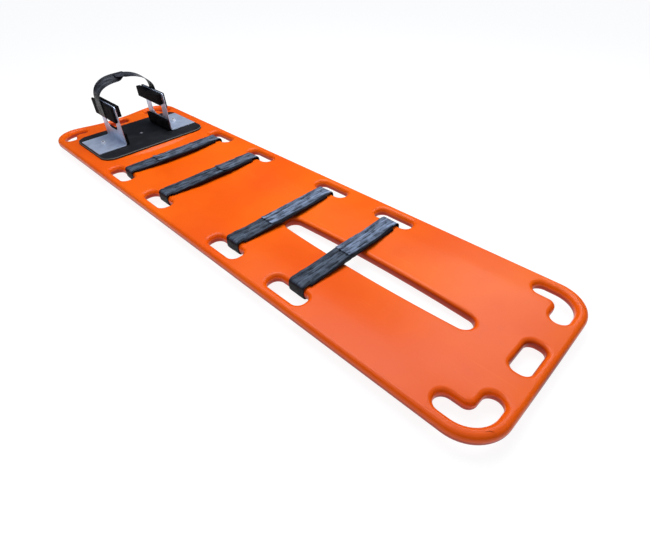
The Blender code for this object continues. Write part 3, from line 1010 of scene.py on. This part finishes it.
@dataclass
class HeadPlate:
    """The black base plate: rounded corners, a soft rim and a counterbored slot under each bracket."""

    body: str = "board"
    corner: float = 0.042
    rim: float = 0.0028
    web: float = 0.0031
    travel: float = 0.012
    clearance: float = 0.0003
    bolt: float = 0.004
    bolt_head: float = 0.009
    almost_half: float = 0.99
    corner_steps: int = 14
    rim_steps: int = 4
    track_steps: int = 6

    def build(self) -> Bench:
        """Model the plate inside its CAD box.

        Returns:
            The bench that holds the finished mesh.
        """
        box = Box.of("base_plate")
        plate = rounded_bar("head_plate", box.low, box.high, self.corner, self.corner_steps)
        plate.pick(Pick.EDGES, lambda e: min(v.co.z for v in e.verts) > box.high.z - NEAR)
        plate.bevel(self.rim, self.rim_steps)
        for side in Side:
            clamp = Box.of("clamp_bolt_" + side.word).mid
            tops = {self.bolt: box.high.z + self.travel, self.bolt_head: box.high.z - self.web}
            for radius, top in tops.items():
                wide = radius + self.clearance
                low = (clamp.x - wide - self.travel, clamp.y - wide, box.low.z - self.travel)
                high = (clamp.x + wide + self.travel, clamp.y + wide, top)
                track = rounded_bar("track", low, high, wide * self.almost_half, self.track_steps)
                plate.boolean(track, "DIFFERENCE")
        return plate.smooth(40, weighted=True)

    def place(self, finishes: "Wardrobe") -> None:
        """Build the plate and put it on the board."""
        place_piece(self.build(), self.body, "base_plate", finishes.plate)


@dataclass
class Bracket:
    """One bent sheet bracket: a flange, a bend and an upright leg with a window."""

    side: Side
    sheet: float = 0.003
    bend: float = 0.005
    leg_corner: float = 0.010
    flange_corner: float = 0.003
    window: Pair = (0.080, 0.062)
    window_corner: float = 0.022
    sill: float = 0.043
    soft_edge: float = 0.0007
    cutter_reach: float = 0.02

    def __post_init__(self) -> None:
        """Read the bracket's box from the frame."""
        self.box = Box.of("bracket_" + self.side.word)

    def build(self) -> Bench:
        """Model the bracket from one flat edge, as the sheet is bent.

        Returns:
            The bench that holds the finished mesh.
        """
        way = self.side.value
        out = max(abs(self.box.low.x), abs(self.box.high.x))
        leg = min(abs(self.box.low.x), abs(self.box.high.x)) + self.sheet / 2
        level = self.box.low.z + self.sheet / 2
        r = self.bend + self.sheet / 2
        y = self.box.mid.y
        strip = Strip.start("bent_bracket_" + self.side.word, (way * out, level), y, self.box.size.y, 1)
        strip.run(-way * (out - leg - r), 0, 1)
        strip.turn((way * (leg + r), level + r), 90 * way, 8)
        strip.run(0, self.box.high.z - level - r, 1)
        strip.modifier("SOLIDIFY", thickness=self.sheet, offset=0.0, use_even_offset=True)
        strip.pick(Pick.EDGES, lambda e: self.box.high.z - min(v.co.z for v in e.verts) < NEAR
                   and spans(e, X) > self.sheet / 2)
        strip.bevel(self.leg_corner, 6)
        strip.pick(Pick.EDGES, lambda e: spans(e, Z) > self.sheet / 2
                   and min(abs(v.co.x) for v in e.verts) > out - NEAR)
        strip.bevel(self.flange_corner, 3)
        width, height = self.window
        base = self.box.low.z + self.sill
        cutter = Bench.cube("window", (way * leg - self.cutter_reach, y - width / 2, base),
                            (way * leg + self.cutter_reach, y + width / 2, base + height))
        cutter.pick(Pick.EDGES, lambda e: spans(e, X) > TINY)
        cutter.bevel(self.window_corner, 8)
        strip.boolean(cutter, "DIFFERENCE")
        strip.modifier("BEVEL", width=self.soft_edge, segments=2, limit_method="ANGLE",
                       angle_limit=math.radians(50))
        return strip.smooth(40, weighted=True)


@dataclass
class FoamPad:
    """A closed-cell foam pad: soft edges, faces slightly crowned, a little uneven."""

    node: str
    crown: float = 0.0008
    edge: float = 0.0016
    seed: float = 0.0
    cuts: Sequence[int] = (2, 22, 7)
    swell: float = 0.8
    grain: float = 0.35
    grain_scale: float = 60.0
    sink: float = 0.2

    def build(self) -> Bench:
        """Model the pad inside its CAD box.

        Returns:
            The bench that holds the finished mesh.
        """
        box = Box.of(self.node)
        inset = Vector((self.crown,) * 3)
        pad = Bench.cube(self.node + "_foam", box.low + inset, box.high - inset)
        pad.pick(Pick.EDGES)
        pad.bevel(self.edge, 4)
        for axis, count in enumerate(self.cuts):
            normal = [float(i == axis) for i in range(3)]
            for i in range(1, count):
                pad.slice(box.low + box.size * i / count, normal)
        half = box.size / 2

        def crowned(co: Vector) -> Vector:
            """Swell the faces' middles and roughen them slightly.

            Args:
                co: A vertex's place.

            Returns:
                Its new place.
            """
            off = co - box.mid
            share = Vector(off[i] / half[i] for i in range(3))
            for i in range(3):
                a, b = (share[j] for j in range(3) if j != i)
                rough = self.grain * noise.noise(co * self.grain_scale + Vector((self.seed, 0, 0)))
                swell = self.swell * (1 - a ** 2) * (1 - b ** 2)
                co[i] += share[i] * self.crown * (swell + rough - self.sink)
            return co

        pad.move(crowned)
        pad.modifier("SUBSURF", levels=1, render_levels=1)
        return pad.smooth(60)


@dataclass
class HeadSide:
    """One side of the head immobiliser: a bracket, its three pads and a half of the forehead strap."""

    side: Side
    fill: float = 0.95
    blend_end: float = 0.02

    def place(self, finishes: "Wardrobe") -> None:
        """Build this side's pieces and put them on the bracket's body.

        Args:
            finishes: The materials.
        """
        word, body = self.side.word, self.side.body
        place_piece(Bracket(self.side).build(), body, "bracket_" + word, finishes.sheet)
        for number, label in enumerate(("outer_pad_", "inner_pad_", "lower_pad_")):
            pad = FoamPad(label + word, seed=number + 3.0 * self.side.value).build()
            place_piece(pad, body, label + word, finishes.foam)
        self.place_strap(finishes)

    def place_strap(self, finishes: "Wardrobe") -> None:
        """Build this side's strap half, from the bracket up to the crown, and bake its place into its mesh.

        Args:
            finishes: The materials.
        """
        way, word = self.side.value, self.side.word
        fullness, twist = (2.5, 0.35) if self.side is Side.LEFT else (1.9, 0.14)
        half = ForeheadStrap(self.side, fullness, twist)
        strap, length = half.build()
        piece = place_piece(strap, "", "forehead_strap_" + word, finishes.forehead)
        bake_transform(piece)


# ---- shader arithmetic ----------------------------------------------------------------------
Value = Union[float, "Tap"]


class Tap:
    """A shader socket that takes part in Python arithmetic; each operation adds a Math node."""

    def __init__(self, nodes: "Nodes", socket: bpy.types.NodeSocket) -> None:
        """Wrap a socket of a node tree."""
        self.nodes, self.socket = nodes, socket

    def math(self, operation: str, *values: Value) -> "Tap":
        """Add a Math node that takes this socket first."""
        return self.nodes.node("ShaderNodeMath", {"operation": operation}, dict(enumerate((self, *values))))

    def __add__(self, other: Value) -> "Tap":
        """Return self + other."""
        return self.math("ADD", other)

    __radd__ = __add__

    def __mul__(self, other: Value) -> "Tap":
        """Return self * other."""
        return self.math("MULTIPLY", other)

    __rmul__ = __mul__

    def __sub__(self, other: Value) -> "Tap":
        """Return self - other."""
        return self.math("SUBTRACT", other)

    def __rsub__(self, other: float) -> "Tap":
        """Return other - self."""
        return (self * -1.0) + other

    def ramp(self, low: float, high: float) -> "Tap":
        """Return 0 below low, 1 above high and a smooth step between them."""
        return self.nodes.node(
            "ShaderNodeMapRange", {"interpolation_type": "SMOOTHSTEP"},
            {"Value": self, "From Min": low, "From Max": high, "To Min": 0.0, "To Max": 1.0})


class Nodes:
    """A node tree while its nodes are put together."""

    def __init__(self, tree: bpy.types.NodeTree) -> None:
        """Take up a tree."""
        self.tree = tree

    def node(self, kind: str, settings: dict, inputs: dict, output: Union[int, str] = 0) -> Tap:
        """Add any node.

        Args:
            kind: The node's type.
            settings: Its own settings, set first.
            inputs: Values or taps for its sockets, by name or number.
            output: The output wanted.

        Returns:
            The tap of that output.
        """
        made = self.tree.nodes.new(kind)
        for key, value in settings.items():
            setattr(made, key, value)
        for key, value in inputs.items():
            self.feed(made.inputs[key], value)
        return Tap(self, made.outputs[output])

    def feed(self, socket: bpy.types.NodeSocket, value: object) -> None:
        """Link a tap to a socket, or set the socket's own value.

        Args:
            socket: The socket.
            value: A tap, a number or a colour.
        """
        if isinstance(value, Tap):
            self.tree.links.new(value.socket, socket)
        elif socket.type == "RGBA" and len(value) == 3:
            socket.default_value = (*value, 1.0)
        else:
            socket.default_value = value

    def mix(self, share: Value, low: object, high: object) -> Tap:
        """Mix two colours.

        Args:
            share: How much of the second colour there is, 0 to 1.
            low: The first colour, or a tap of it.
            high: The second colour, or a tap of it.

        Returns:
            The tap of the mixed colour.
        """
        made = self.tree.nodes.new("ShaderNodeMix")
        made.data_type = "RGBA"
        for socket, value in zip((made.inputs["Factor"], *[i for i in made.inputs if i.type == "RGBA"]),
                                 (share, low, high)):
            self.feed(socket, value)
        return Tap(self, [o for o in made.outputs if o.type == "RGBA"][0])

    def part(self, vector: Tap, axis: int) -> Tap:
        """One value of a vector."""
        return self.node("ShaderNodeSeparateXYZ", {}, {"Vector": vector}, axis)


class Recipe(Nodes):
    """One procedural material while its nodes are put together.

    Attributes:
        material: The finished material.
    """

    def __init__(self, name: str) -> None:
        """Start a material with its Principled shader and the object's coordinates."""
        self.material = bpy.data.materials.new(name)
        self.material.use_nodes = True
        super().__init__(self.material.node_tree)
        self.shader = self.tree.nodes["Principled BSDF"]
        self.place = self.node("ShaderNodeTexCoord", {}, {}, "Object")

    def height(self) -> Tap:
        """The height above the floor."""
        return self.part(self.place, Z)

    def stretched(self, vector: Tap, scale: Triple) -> Tap:
        """A vector with each axis scaled."""
        return self.node("ShaderNodeMapping", {}, {"Vector": vector, "Scale": scale})

    def cells(self, scale: float) -> Tap:
        """The distance from the nearest of many scattered points."""
        return self.node("ShaderNodeTexVoronoi", {}, {"Vector": self.place, "Scale": scale}, "Distance")

    def cloth(self) -> Tap:
        """The cloth map: across in its first value and along in its second, in metres."""
        return self.node("ShaderNodeUVMap", {"uv_map": "cloth"}, {})

    def noise(self, vector: Tap, scale: float, detail: float = 2.0, rough: float = 0.5) -> Tap:
        """Smooth noise from 0 to 1."""
        return self.node("ShaderNodeTexNoise", {},
                         {"Vector": vector, "Scale": scale, "Detail": detail, "Roughness": rough})

    def bump(self, height: Tap, distance: float, strength: float = 1.0) -> Tap:
        """A bumped normal from a height."""
        return self.node("ShaderNodeBump", {},
                         {"Height": height, "Distance": distance, "Strength": strength})

    def finish(self, **sockets: object) -> bpy.types.Material:
        """Feed the shader's sockets.

        Args:
            sockets: Values or taps by the sockets' names, with underscores for spaces.

        Returns:
            The finished material.
        """
        for key, value in sockets.items():
            self.feed(self.shader.inputs[key.replace("_", " ")], value)
        return self.material


# ---- finishes -------------------------------------------------------------------------------
@dataclass(frozen=True)
class MouldedShell:
    """Rotationally moulded polyethylene: waxy orange, faintly mottled, with fine scuffs; painted shade
    darkens it deep in the holes, on the lower rims and underneath.
    """

    deep: Triple = (0.90, 0.100, 0.0)
    light: Triple = (1.0, 0.145, 0.0)
    scuffed: Triple = (1.0, 0.215, 0.030)
    # Deep red painted shade for the holes' walls, the lower rims and the underside.
    inside: Triple = (0.42, 0.026, 0.0)
    top: float = 0.0
    depth: Pair = (0.0170, 0.0088)  # below the top: where the painted shade on the holes' walls and lower rims is full, and where it has faded out

    def material(self, name: str) -> bpy.types.Material:
        """Build the material.

        Args:
            name: The material's name.

        Returns:
            The finished material.
        """
        recipe = Recipe(name)
        mottle = recipe.noise(recipe.place, 3.2, 3.0)
        grain = recipe.noise(recipe.place, 420.0, 2.0)
        scratches = recipe.noise(recipe.stretched(recipe.place, (260.0, 9.0, 60.0)), 1.0, 3.0, 0.65)
        patches = recipe.noise(recipe.place, 7.0, 2.0).ramp(0.46, 0.66)
        scuffs = scratches.ramp(0.60, 0.72) * patches
        colour = recipe.mix(mottle.ramp(0.30, 0.72), self.deep, self.light)
        colour = recipe.mix(scuffs * 0.45, colour, self.scuffed)
        # Painted shade: the colour turns deep red below a depth under the top.
        above_painted_shade = recipe.height().ramp(self.top - self.depth[0], self.top - self.depth[1])
        colour = recipe.mix(above_painted_shade, self.inside, colour)
        rough = mottle * 0.08 + grain * 0.05 + scuffs * 0.16 + 0.27
        peel = recipe.noise(recipe.place, 95.0, 2.0) * 0.6 + grain * 0.25
        normal = recipe.bump(peel, 0.00035, 0.45)
        return recipe.finish(Base_Color=colour, Roughness=rough, Normal=normal, Specular_IOR_Level=0.24)


@dataclass(frozen=True)
class PlatePlastic:
    """Black textured sheet plastic with dust in its texture, worn scratches and a painted highlight along
    its rim.
    """

    black: Triple = (0.0075, 0.0080, 0.0100)
    dusty: Triple = (0.022, 0.023, 0.027)
    # Pale grey painted highlight for the rim's bevel.
    painted_sheen: Triple = (0.150, 0.165, 0.150)
    top: float = 0.0
    band: Triple = (0.0030, 0.0016, 0.0008)  # below the top: the painted highlight along the rim starts, is full and fades

    def material(self, name: str) -> bpy.types.Material:
        """Build the material.

        Args:
            name: The material's name.

        Returns:
            The finished material.
        """
        recipe = Recipe(name)
        pebble = recipe.cells(620.0)
        dust = recipe.noise(recipe.place, 24.0, 4.0)
        lines = recipe.stretched(recipe.place, (30.0, 420.0, 60.0))
        scratches = recipe.noise(lines, 1.0, 2.0).ramp(0.66, 0.74)
        colour = recipe.mix(dust.ramp(0.40, 0.75) * 0.7 + scratches * 0.3, self.black, self.dusty)
        height = recipe.height()
        # Painted highlight: a pale band along the rim just below the top.
        start, full, fades = (self.top - depth for depth in self.band)
        edge = height.ramp(start, full) * (1.0 - height.ramp(fades, self.top))
        colour = recipe.mix(edge, colour, self.painted_sheen)
        rough = dust * 0.16 + 0.46 - scratches * 0.10
        normal = recipe.bump(pebble, 0.00025, 0.5)
        return recipe.finish(Base_Color=colour, Roughness=rough, Normal=normal, Specular_IOR_Level=0.22)


@dataclass(frozen=True)
class ZincSheet:
    """Zinc-coated sheet steel: bluish, faintly cloudy, with the mill's fine lines."""

    pale: Triple = (0.68, 0.77, 0.94)
    dull: Triple = (0.54, 0.62, 0.79)
    lines: Triple = (30.0, 1400.0, 30.0)
    smoothness: float = 0.30
    metal: float = 0.60

    def material(self, name: str) -> bpy.types.Material:
        """Build the material.

        Args:
            name: The material's name.

        Returns:
            The finished material.
        """
        recipe = Recipe(name)
        cloud = recipe.noise(recipe.place, 38.0, 3.0)
        grain = recipe.noise(recipe.stretched(recipe.place, self.lines), 1.0, 2.0)
        spots = recipe.noise(recipe.place, 210.0, 2.0).ramp(0.62, 0.75)
        colour = recipe.mix(cloud.ramp(0.35, 0.70) * 0.8 + spots * 0.2, self.pale, self.dull)
        rough = cloud * 0.12 + grain * 0.08 + spots * 0.12 + self.smoothness
        normal = recipe.bump(grain, 0.00006, 0.35)
        return recipe.finish(Base_Color=colour, Roughness=rough, Normal=normal, Metallic=self.metal)


@dataclass(frozen=True)
class BlackFoam:
    """Closed-cell foam: charcoal black, with open pores at its cut skin and lint on it."""

    black: Triple = (0.0042, 0.0038, 0.0046)
    worn: Triple = (0.0140, 0.0125, 0.0145)

    def material(self, name: str) -> bpy.types.Material:
        """Build the material.

        Args:
            name: The material's name.

        Returns:
            The finished material.
        """
        recipe = Recipe(name)
        cells = recipe.cells(760.0)
        rub = recipe.noise(recipe.place, 55.0, 4.0)
        lint = recipe.noise(recipe.place, 900.0, 1.0).ramp(0.68, 0.74)
        colour = recipe.mix(rub.ramp(0.42, 0.74) * 0.7 + lint * 0.3, self.black, self.worn)
        normal = recipe.bump(cells * 0.7 + rub * 0.6, 0.0005, 0.6)
        return recipe.finish(Base_Color=colour, Roughness=rub * 0.12 + 0.70, Normal=normal,
                             Specular_IOR_Level=0.08)


@dataclass(frozen=True)
class Webbing:
    """Woven nylon webbing: ribs along, picks across, hemmed edges, and streaks and blotches of painted sheen
    that are also glossier; painted shade darkens it below its top run.
    """

    dark: Triple = (0.010, 0.012, 0.018)
    # Painted sheen: the pale tone stands for light off the black webbing.
    pale: Triple = (0.300, 0.385, 0.555)
    width: float = 0.050
    ribs: float = 0.0016
    picks: float = 0.0012
    stitch: float = 0.0035
    rough: float = 0.52
    # Painted shade darkens the webbing below the top, over the fade.
    top: float = 0.0
    fade: float = 0.008

    def material(self, name: str) -> bpy.types.Material:
        """Build the material.

        Args:
            name: The material's name.

        Returns:
            The finished material.
        """
        recipe = Recipe(name)
        cloth = recipe.cloth()
        across, along = recipe.part(cloth, X), recipe.part(cloth, Y)
        ribs = (across * (2 * math.pi / self.ribs)).math("SINE")
        picks = (along * (2 * math.pi / self.picks)).math("SINE")
        weave = ribs * 0.5 + (ribs * picks) * 0.35 + 0.5
        edge = across.math("ABSOLUTE") * (2 / self.width)
        hem = edge.ramp(0.80, 0.86)
        seam = edge.ramp(0.74, 0.78) * (1.0 - edge.ramp(0.80, 0.84))
        stitch = (along * (2 * math.pi / self.stitch)).math("SINE").ramp(-0.1, 0.4) * seam
        # The streaks and blotches place the painted sheen, and also set the gloss and relief.
        streaks = recipe.noise(recipe.stretched(cloth, (150.0, 6.0, 1.0)), 1.0, 4.0, 0.6)
        painted_sheen = recipe.noise(recipe.stretched(cloth, (44.0, 20.0, 1.0)), 1.0, 3.0, 0.6)
        shade = streaks.ramp(0.42, 0.60) * 0.52 + painted_sheen.ramp(0.43, 0.57) * 0.40 + weave * 0.08
        # Painted shade: the webbing darkens below its top run, where it drops into the holes.
        clear_of_drop_shade = recipe.height().ramp(self.top - self.fade, self.top - 0.001)
        shade = shade * (1.0 - hem * 0.45) * clear_of_drop_shade + stitch * 0.10
        colour = recipe.mix(shade.math("MINIMUM", 1.0), self.dark, self.pale)
        rough = self.rough - shade * 0.25
        relief = weave * 0.35 + hem * 0.5 + stitch * 0.5 + painted_sheen * 1.2 + streaks * 0.8
        return recipe.finish(Base_Color=colour, Roughness=rough, Specular_IOR_Level=0.12,
                             Normal=recipe.bump(relief, 0.0008, 0.8))


@dataclass(frozen=True)
class CoreFoam:
    """Poured polyurethane foam: cream, with fine open cells."""

    cream: Triple = (0.62, 0.52, 0.30)
    aged: Triple = (0.48, 0.36, 0.17)

    def material(self, name: str) -> bpy.types.Material:
        """Build the material.

        Args:
            name: The material's name.

        Returns:
            The finished material.
        """
        recipe = Recipe(name)
        cells = recipe.cells(500.0)
        age = recipe.noise(recipe.place, 12.0, 3.0)
        return recipe.finish(Base_Color=recipe.mix(age, self.cream, self.aged), Roughness=age * 0.1 + 0.85,
                             Normal=recipe.bump(cells, 0.0008, 0.6))


# ---- studio ---------------------------------------------------------------------------------
@dataclass(frozen=True)
class Lamp:
    """One soft rectangular light that faces a target."""

    name: str
    place: Triple
    target: Triple
    size: Pair
    power: float

    def hang(self) -> None:
        """Put the light into the scene."""
        lamp = bpy.data.lights.new(self.name, "AREA")
        lamp.shape = "RECTANGLE"
        lamp.size, lamp.size_y = self.size
        lamp.energy = self.power
        obj = bpy.data.objects.new(self.name, lamp)
        obj.location = self.place
        obj.rotation_euler = (Vector(self.target) - Vector(self.place)).to_track_quat("-Z", "Y").to_euler()
        bpy.context.scene.collection.objects.link(obj)


@dataclass
class Studio:
    """A pale floor, soft lights and the camera."""

    eye: Triple = (-0.6369, -0.9666, 0.7101)
    target: Triple = (-0.0972, -0.4171, 0.048)
    roll: float = -1.585
    lens: float = 24.0
    sensor: float = 36.0
    lamps: Sequence[Lamp] = (
        Lamp("overhead", (0.38, 0.28, 1.95), (0, 0.1, 0), (1.4, 1.4), 31),
        Lamp("fill", (-1.4, 0.4, 2.4), (0, 0.1, 0), (1.4, 1.4), 6),
        Lamp("foot_sheen", (1.45, -0.35, 1.55), (0, -0.75, 0), (0.8, 0.6), 9))
    floor_reach: float = 9.0
    floor_drop: float = 0.0002
    floor_colour: Triple = (0.16, 0.16, 0.16)
    floor_cloud: float = 0.985
    floor_glow: float = 0.90
    sky_low: Triple = (0.035, 0.045, 0.065)
    sky_high: Triple = (0.50, 0.56, 0.68)
    sky_span: Pair = (0.42, 0.95)
    backdrop: Triple = (1.0, 1.0, 1.0)

    def floor(self) -> None:
        """Lay the floor."""
        clear_selection()
        bpy.ops.mesh.primitive_plane_add(size=2 * self.floor_reach, location=(0, 0, -self.floor_drop))
        floor = bpy.context.object
        floor.name = "studio_floor"
        recipe = Recipe("studio_floor")
        cloud = recipe.noise(recipe.place, 1.5)
        colour = recipe.mix(cloud, self.floor_colour, tuple(c * self.floor_cloud for c in self.floor_colour))
        floor.data.materials.append(recipe.finish(
            Base_Color=colour, Roughness=0.85, Emission_Color=(1.0, 1.0, 1.0),
            Emission_Strength=self.floor_glow))

    def sky(self) -> None:
        """Set the sky: a dim gradient that lights the object, behind an even pale backdrop."""
        world = bpy.data.worlds.new("studio_sky")
        world.use_nodes = True
        sky = Nodes(world.node_tree)
        up = sky.part(sky.node("ShaderNodeTexCoord", {}, {}, "Generated"), Z)
        gradient = sky.node("ShaderNodeValToRGB", {}, {"Fac": up}, "Color")
        ramp = gradient.socket.node.color_ramp
        ramp.interpolation = "EASE"
        for step, place, colour in zip(ramp.elements, self.sky_span, (self.sky_low, self.sky_high)):
            step.position, step.color = place, (*colour, 1)
        seen = sky.node("ShaderNodeLightPath", {}, {}, "Is Camera Ray")
        sky.feed(sky.tree.nodes["Background"].inputs["Color"], sky.mix(seen, gradient, self.backdrop))
        bpy.context.scene.world = world
        bpy.context.scene.view_settings.view_transform = "Standard"

    def camera(self) -> None:
        """Place the camera."""
        lens = bpy.data.cameras.new("camera")
        lens.lens = self.lens
        lens.sensor_width = self.sensor
        camera = bpy.data.objects.new("camera", lens)
        bpy.context.scene.collection.objects.link(camera)
        camera.location = self.eye
        aim = (Vector(self.target) - Vector(self.eye)).to_track_quat("-Z", "Y").to_matrix()
        camera.rotation_euler = (aim @ Matrix.Rotation(math.radians(self.roll), 3, "Z")).to_euler()
        bpy.context.scene.camera = camera

    def build(self) -> None:
        """Set up the whole studio."""
        self.camera()
        self.floor()
        for lamp in self.lamps:
            lamp.hang()
        self.sky()


# ---- the whole object -----------------------------------------------------------------------
class Wardrobe:
    """Every finish, made once."""

    def __init__(self) -> None:
        """Build the materials."""
        self.shell = MouldedShell(top=Box.of("board_shell").high.z).material("orange_shell")
        self.plate = PlatePlastic(top=Box.of("base_plate").high.z).material("black_plate")
        self.sheet = ZincSheet().material("zinc_sheet")
        self.foam = BlackFoam().material("black_foam")
        turned = (500.0, 500.0, 60.0)
        # Painted glint: the washers and nuts take a near-white copy of the zinc.
        self.washer = ZincSheet(pale=(0.97, 0.98, 1.0), dull=(0.88, 0.90, 0.95), lines=turned,
                                smoothness=0.22, metal=0.30).material("zinc_washers")
        self.bolt = ZincSheet(pale=(0.20, 0.21, 0.24), dull=(0.10, 0.11, 0.13), lines=turned,
                              smoothness=0.34).material("dark_fasteners")
        top = Box.of("shin_belt").high.z
        # Painted sheen: the flaps take lighter copies of the webbing, the belts and the chest and hip flaps
        # darker ones.
        self.belt = Webbing(dark=(0.0075, 0.0090, 0.0130), pale=(0.130, 0.168, 0.232),
                            top=top).material("belt_webbing")
        self.flap = Webbing(top=top).material("flap_webbing")
        self.dull_flap = Webbing(pale=(0.205, 0.250, 0.340), top=top).material("dull_flap_webbing")
        # Painted shade: the pile under the top run takes a near-black copy.
        self.pile = Webbing(dark=(0.006, 0.007, 0.010), pale=(0.026, 0.032, 0.046)).material("pile_webbing")
        # Painted shade: the forehead webbing turns dark below this height, down its pads.
        painted_shade_below = Box.of("bracket_left").high.z + 0.030
        self.forehead = Webbing(dark=(0.006, 0.006, 0.008), pale=(0.085, 0.088, 0.108), width=0.048,
                                rough=0.30, top=painted_shade_below).material("forehead_webbing")
        self.core = CoreFoam().material("cream_foam")


def dress(obj: bpy.types.Object, material: bpy.types.Material) -> None:
    """Give an object one material only."""
    obj.data.materials.clear()
    obj.data.materials.append(material)


def ride_piece(bench: Bench, body: str,
               material: bpy.types.Material) -> bpy.types.Object:
    """Dress a finished piece and let it ride on its body.

    Args:
        bench: The bench that holds the piece.
        body: The CAD body it moves with, or nothing for a piece that rides on no body.
        material: Its finish.

    Returns:
        The piece's object.
    """
    clear_selection()
    dress(bench.obj, material)
    if body:
        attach(bench.obj, body)
    LOG.info("%s has %d faces", bench.obj.name, len(bench.obj.data.polygons))
    return bench.obj


def place_piece(bench: Bench, body: str, node: str,
                material: bpy.types.Material) -> bpy.types.Object:
    """Dress a finished piece and let it ride on its body in place of a CAD node.

    Args:
        bench: The bench that holds the piece.
        body: The CAD body it moves with, or nothing for a piece that rides on no body.
        node: The CAD node it stands for.
        material: Its finish.

    Returns:
        The piece's object.
    """
    piece = ride_piece(bench, body, material)
    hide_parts(node)
    LOG.info("%s stands for %s", piece.name, node)
    return piece


def dress_cad(finishes: Wardrobe) -> None:
    """Give the CAD nodes that keep their shape their finishes.

    Args:
        finishes: The materials.
    """
    kept = {"foam_core": finishes.core, "fill_plug": finishes.shell, "plate_screw": finishes.bolt}
    for side in Side:
        for piece in ("bolt", "washer", "nut"):
            kept[f"clamp_{piece}_{side.word}"] = finishes.bolt if piece == "bolt" else finishes.washer
    for node, material in kept.items():
        dress(frame["nodes"][node], material)
        LOG.info("%s keeps its CAD shape", node)


def main() -> None:
    """Build every piece and the studio."""
    logging.basicConfig(level=logging.INFO, format="%(message)s")
    clear_selection()
    Studio().build()
    finishes = Wardrobe()
    dress_cad(finishes)
    sides = [HeadSide(side) for side in Side]
    belts = [BodyBelt("shin", 1.3, -0.020), BodyBelt("thigh", 5.1, -0.060),
             BodyBelt("hip", 8.7, 0.030, dull=True), BodyBelt("chest", 12.9, -0.075, dull=True)]
    for part in (Board(), HeadPlate(), *sides, *belts):
        part.place(finishes)


if __name__ == "__main__":
    main()
